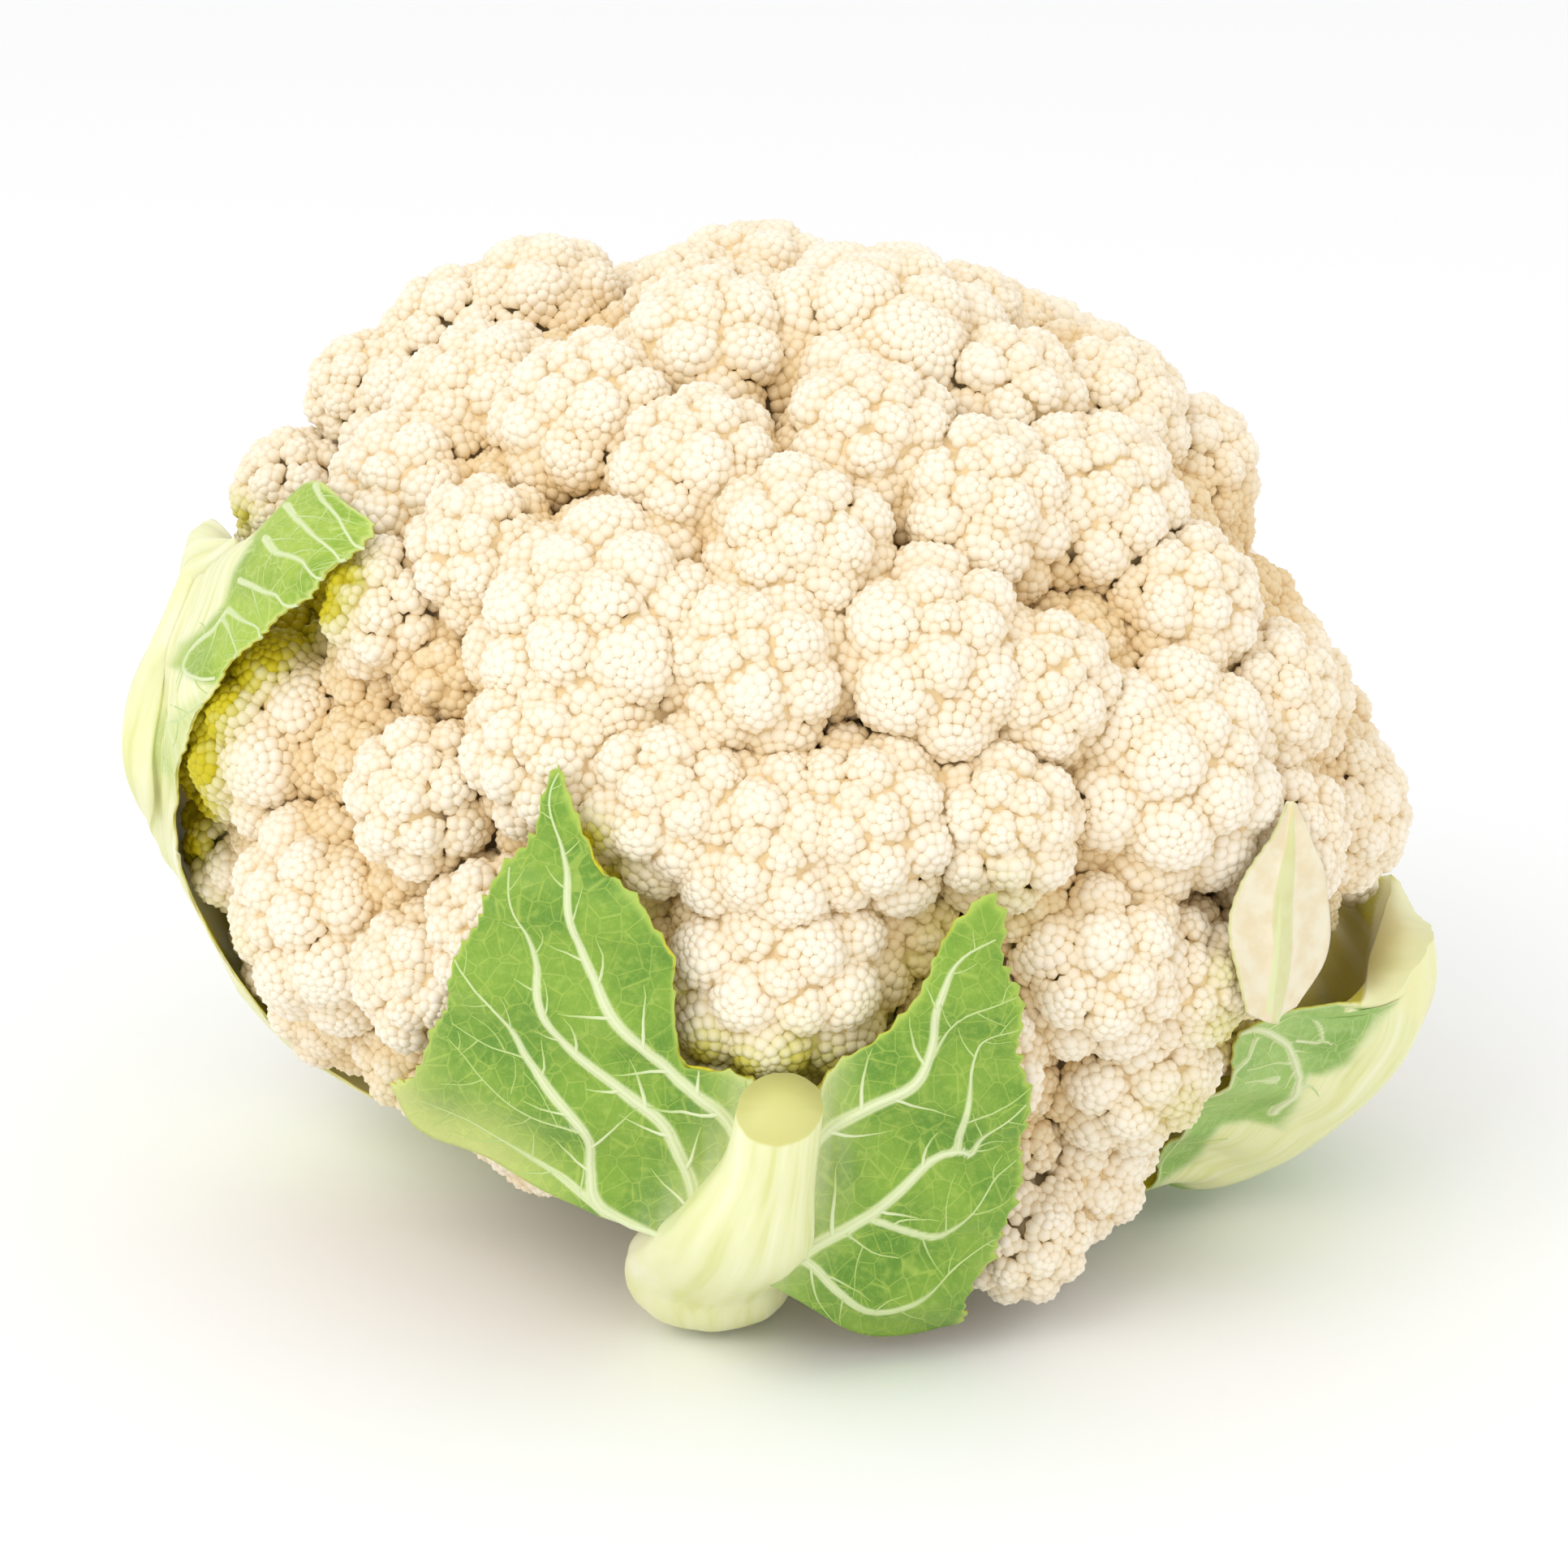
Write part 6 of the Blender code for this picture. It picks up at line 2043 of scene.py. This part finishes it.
def inner_leaf() -> NetLeaf:
    """The small cream leaf that stands against the curd on the right."""
    places = (
        ((67.8, -33.5), (71.7, -35.0), (76.0, -33.0)), ((66.2, -25.5), (73.0, -26.0), (80.6, -25.0)),
        ((67.4, -16.0), (73.6, -16.5), (79.9, -15.7)), ((72.2, -8.6), (74.8, -8.5), (77.3, -8.5)),
        ((74.4, -3.0), (75.2, -2.5), (76.0, -3.0)),
    )
    net = [[SIGHT.seen(x, y, 1.0) for x, y in row] for row in places]
    veins = (
        Vein(((72.0, -34.0), (73.2, -27.0), (73.8, -20.0), (74.4, -12.0), (75.2, -4.0)), 1.3, 0.4),
        Vein(((73.6, -22.0), (70.6, -18.5), (68.8, -16.5)), 0.5, 0.2),
        Vein(((73.4, -27.0), (76.5, -23.0), (79.0, -21.5)), 0.5, 0.2),
    )
    return NetLeaf("leaf_inner", net, solid_grid=(17, 9), grid=(60, 36), rib=RibBand(0.5, 1.6, 1.2, 0.15),
                   margins=Margins(near=0.45, thin=0.4), thin=0.7, veins=veins, bands=0.05)


def back_leaf(name: str, azimuth: float, top: float, seed: int) -> NetLeaf:
    """A leaf on the hidden side, from its base up to where it was cut, with waved margins."""
    net = [leaf_base(azimuth, -12.0)]
    net.append([SIGHT.by_stalk(azimuth + 17.0 * k, 47.0, 12.5) for k in (-1, -0.5, 0, 0.5, 1)])
    shape = ((26.0, 13.0), (40.0, 20.0), (54.0, 27.0), (68.0, 24.0), (80.0, 21.0), (top, 12.0))
    for index, (height, half_angle) in enumerate(shape):
        row = []
        for k in (-1.0, -0.5, 0.0, 0.5, 1.0):
            wave = 2.6 * abs(k) * math.sin(2.1 * index + 1.7 * k)
            lean = 2.0 * math.cos(3.0 * index)
            turn = azimuth + half_angle * k + lean * abs(k)
            row.append(SIGHT.around(turn, height + 5.0 * abs(k) - 4.0, 4.0 + wave))
        net.append(row)
    return NetLeaf(name, net, solid_grid=(27, 13), grid=(78, 44), rib=RibBand(0.5, 9.5, 5.5, 0.11),
                   margins=Margins(near=0.8, far=0.8, top=0.5), side_veins=11.0, branch_pitch=8.0,
                   ruffle=0.8, seed=seed)


@dataclass
class Stalk:
    """The trunk: lobed, ringed by the scars of cut leaves, and flat at its butt."""

    radius: float = 20.4
    sides: int = 72
    rings: int = 44
    levels: tuple[tuple[float, float], ...] = (
        (0.0, 0.84), (1.5, 0.92), (8.0, 0.98), (18.0, 1.0), (27.0, 0.98), (34.0, 1.02))
    scars: tuple[tuple[float, float, float], ...] = ((5.5, 0.4, 1.3), (9.5, 2.6, 1.1), (24.0, 4.4, 1.2))
    butt_rings: tuple[float, ...] = (0.2, 0.5, 0.8)
    scar_tilt: float = 1.6
    scar_width: float = 0.9

    def build(self, material: bpy.types.Material) -> bpy.types.Object:
        """Makes the trunk as one closed tube with a ringed butt."""
        turn = np.linspace(0.0, math.tau, self.sides, endpoint=False)[None]
        stations = curve_of(np.array(self.levels), self.rings)
        heights, shares = stations[:, :1], stations[:, 1:2]
        lobes = 1.0 + 0.03 * np.cos(5.0 * turn + 0.05 * heights) + 0.015 * np.cos(11.0 * turn)
        reach = self.radius * shares * lobes
        for height, phase, depth in self.scars:
            line = height + self.scar_tilt * np.sin(turn + phase)
            notch = falling(heights - line, self.scar_width) * (0.6 + 0.4 * np.cos(turn + phase))
            reach = reach - depth * 0.5 * notch
        reach = np.concatenate([reach[:1] * share for share in self.butt_rings] + [reach])
        heights = np.concatenate([np.zeros((len(self.butt_rings), 1)), heights])
        x = SIGHT.stalk_axis[0] + reach * np.cos(turn)
        y = SIGHT.stalk_axis[1] + reach * np.sin(turn)
        rings = stacked(x, y, heights)
        marks = np.zeros(reach.shape)
        marks[:len(self.butt_rings) + 1] = 1.0
        streak = stacked(np.sin(turn) * 6.0, np.cos(turn) * 6.0, heights * 0.05)
        mesh = closed_tube("stalk_trunk", rings, {"butt": marks, "streak": streak})
        return shown("stalk_trunk", mesh, material)


@dataclass
class Studio:
    """The plain floor, the soft lights and the camera."""

    lens: float = 104.9
    sensor: float = 36.0
    floor_half: float = 4.0
    world_strength: float = 0.94
    key_place: tuple[float, float, float] = (-0.75, -0.95, 1.15)
    key_size: float = 0.9
    key_power: float = 6.5
    fill_place: tuple[float, float, float] = (0.95, -0.75, 0.75)
    fill_size: float = 1.4
    fill_power: float = 1.0

    def camera(self) -> bpy.types.Object:
        """The camera at the photograph's angle."""
        data = bpy.data.cameras.new("camera")
        data.lens = self.lens
        data.sensor_width = self.sensor
        data.clip_start = 0.01
        camera = placed("camera", data)
        camera.location = SIGHT.eye * MM
        camera.rotation_euler = (math.radians(90.0) - SIGHT.elevation, 0.0, 0.0)
        bpy.context.scene.camera = camera
        return camera

    def floor(self) -> bpy.types.Object:
        """A wide pale floor."""
        mesh = bpy.data.meshes.new("floor")
        side = self.floor_half
        corners = [(-side, -side, 0.0), (side, -side, 0.0), (side, side, 0.0), (-side, side, 0.0)]
        mesh.from_pydata(corners, [], [(0, 1, 2, 3)])
        graph = Graph("pale_floor")
        floor = shown("floor", mesh, graph.finish({"Base Color": linear(253, 253, 254), "Roughness": 0.9}))
        return floor

    def light(self, name: str, place: tuple[float, float, float], size: float, power: float) -> None:
        """A square soft light that faces the head."""
        data = bpy.data.lights.new(name, "AREA")
        data.shape = "SQUARE"
        data.size = size
        data.energy = power
        lamp = placed(name, data)
        lamp.location = place
        lamp.rotation_euler = (Vector(SIGHT.centre * MM) - Vector(place)).to_track_quat("-Z", "Y").to_euler()

    def build(self) -> None:
        """Makes the floor, the world, the lights and the camera."""
        self.camera()
        self.floor()
        world = bpy.data.worlds.new("studio")
        bpy.context.scene.world = world
        world.use_nodes = True
        light = world.node_tree.nodes["Background"].inputs
        light["Color"].default_value = (1.0, 1.0, 1.0, 1.0)
        light["Strength"].default_value = self.world_strength
        self.light("key", self.key_place, self.key_size, self.key_power)
        self.light("fill", self.fill_place, self.fill_size, self.fill_power)
        bpy.context.scene.view_settings.view_transform = "Standard"


def settle(pieces: Iterable[bpy.types.Object], node: str, slot: Slot) -> None:
    """Ties finished pieces to the frame and reports them."""
    for piece in pieces:
        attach(piece, "root")
        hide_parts(node)
        log.info("%s: %d faces, dresses %s", piece.name, len(piece.data.polygons), node)


def main() -> None:
    """Builds every piece in order."""
    logging.basicConfig(level=logging.INFO, format="%(message)s")
    head = Head()
    curd = Curd(head)
    settle(curd.build(CurdFinish().material()), "curd", Slot.CURD)
    settle([Stalk().build(StalkFinish().material())], "stalk", Slot.STALK)
    blade = LeafFinish("leaf_blade").material()
    flap = LeafFinish("leaf_flap", blade=linear(166, 194, 66), shadow=linear(140, 174, 50),
                      light=linear(208, 222, 132)).material()
    # Its cut facet is the cut's own pale colour, made lighter still as painted light where the curd shades
    # it.
    crumpled = LeafFinish("leaf_crumpled", blade=linear(160, 196, 104), shadow=linear(134, 176, 80),
                          light=linear(194, 216, 142), cut=linear(240, 238, 182)).material()
    tubes = VeinTubes(VeinFinish().material())
    settle(FrontLeaf(head, curd).build(blade, tubes), "leaf_front", Slot.LEAF)
    for leaf, finish in ((left_leaf(), flap), (right_leaf(), crumpled),
                         (back_leaf("leaf_back_left", -152.0, 92.0, 8), blade),
                         (back_leaf("leaf_back_right", 150.0, 84.0, 9), blade)):
        settle(leaf.build(head, curd, finish, tubes), leaf.name, Slot.LEAF)
    inner = inner_leaf()
    settle(inner.build(head, curd, InnerLeafFinish().material(), None), inner.name, Slot.INNER_LEAF)
    Studio().build()


if __name__ == "__main__":
    main()
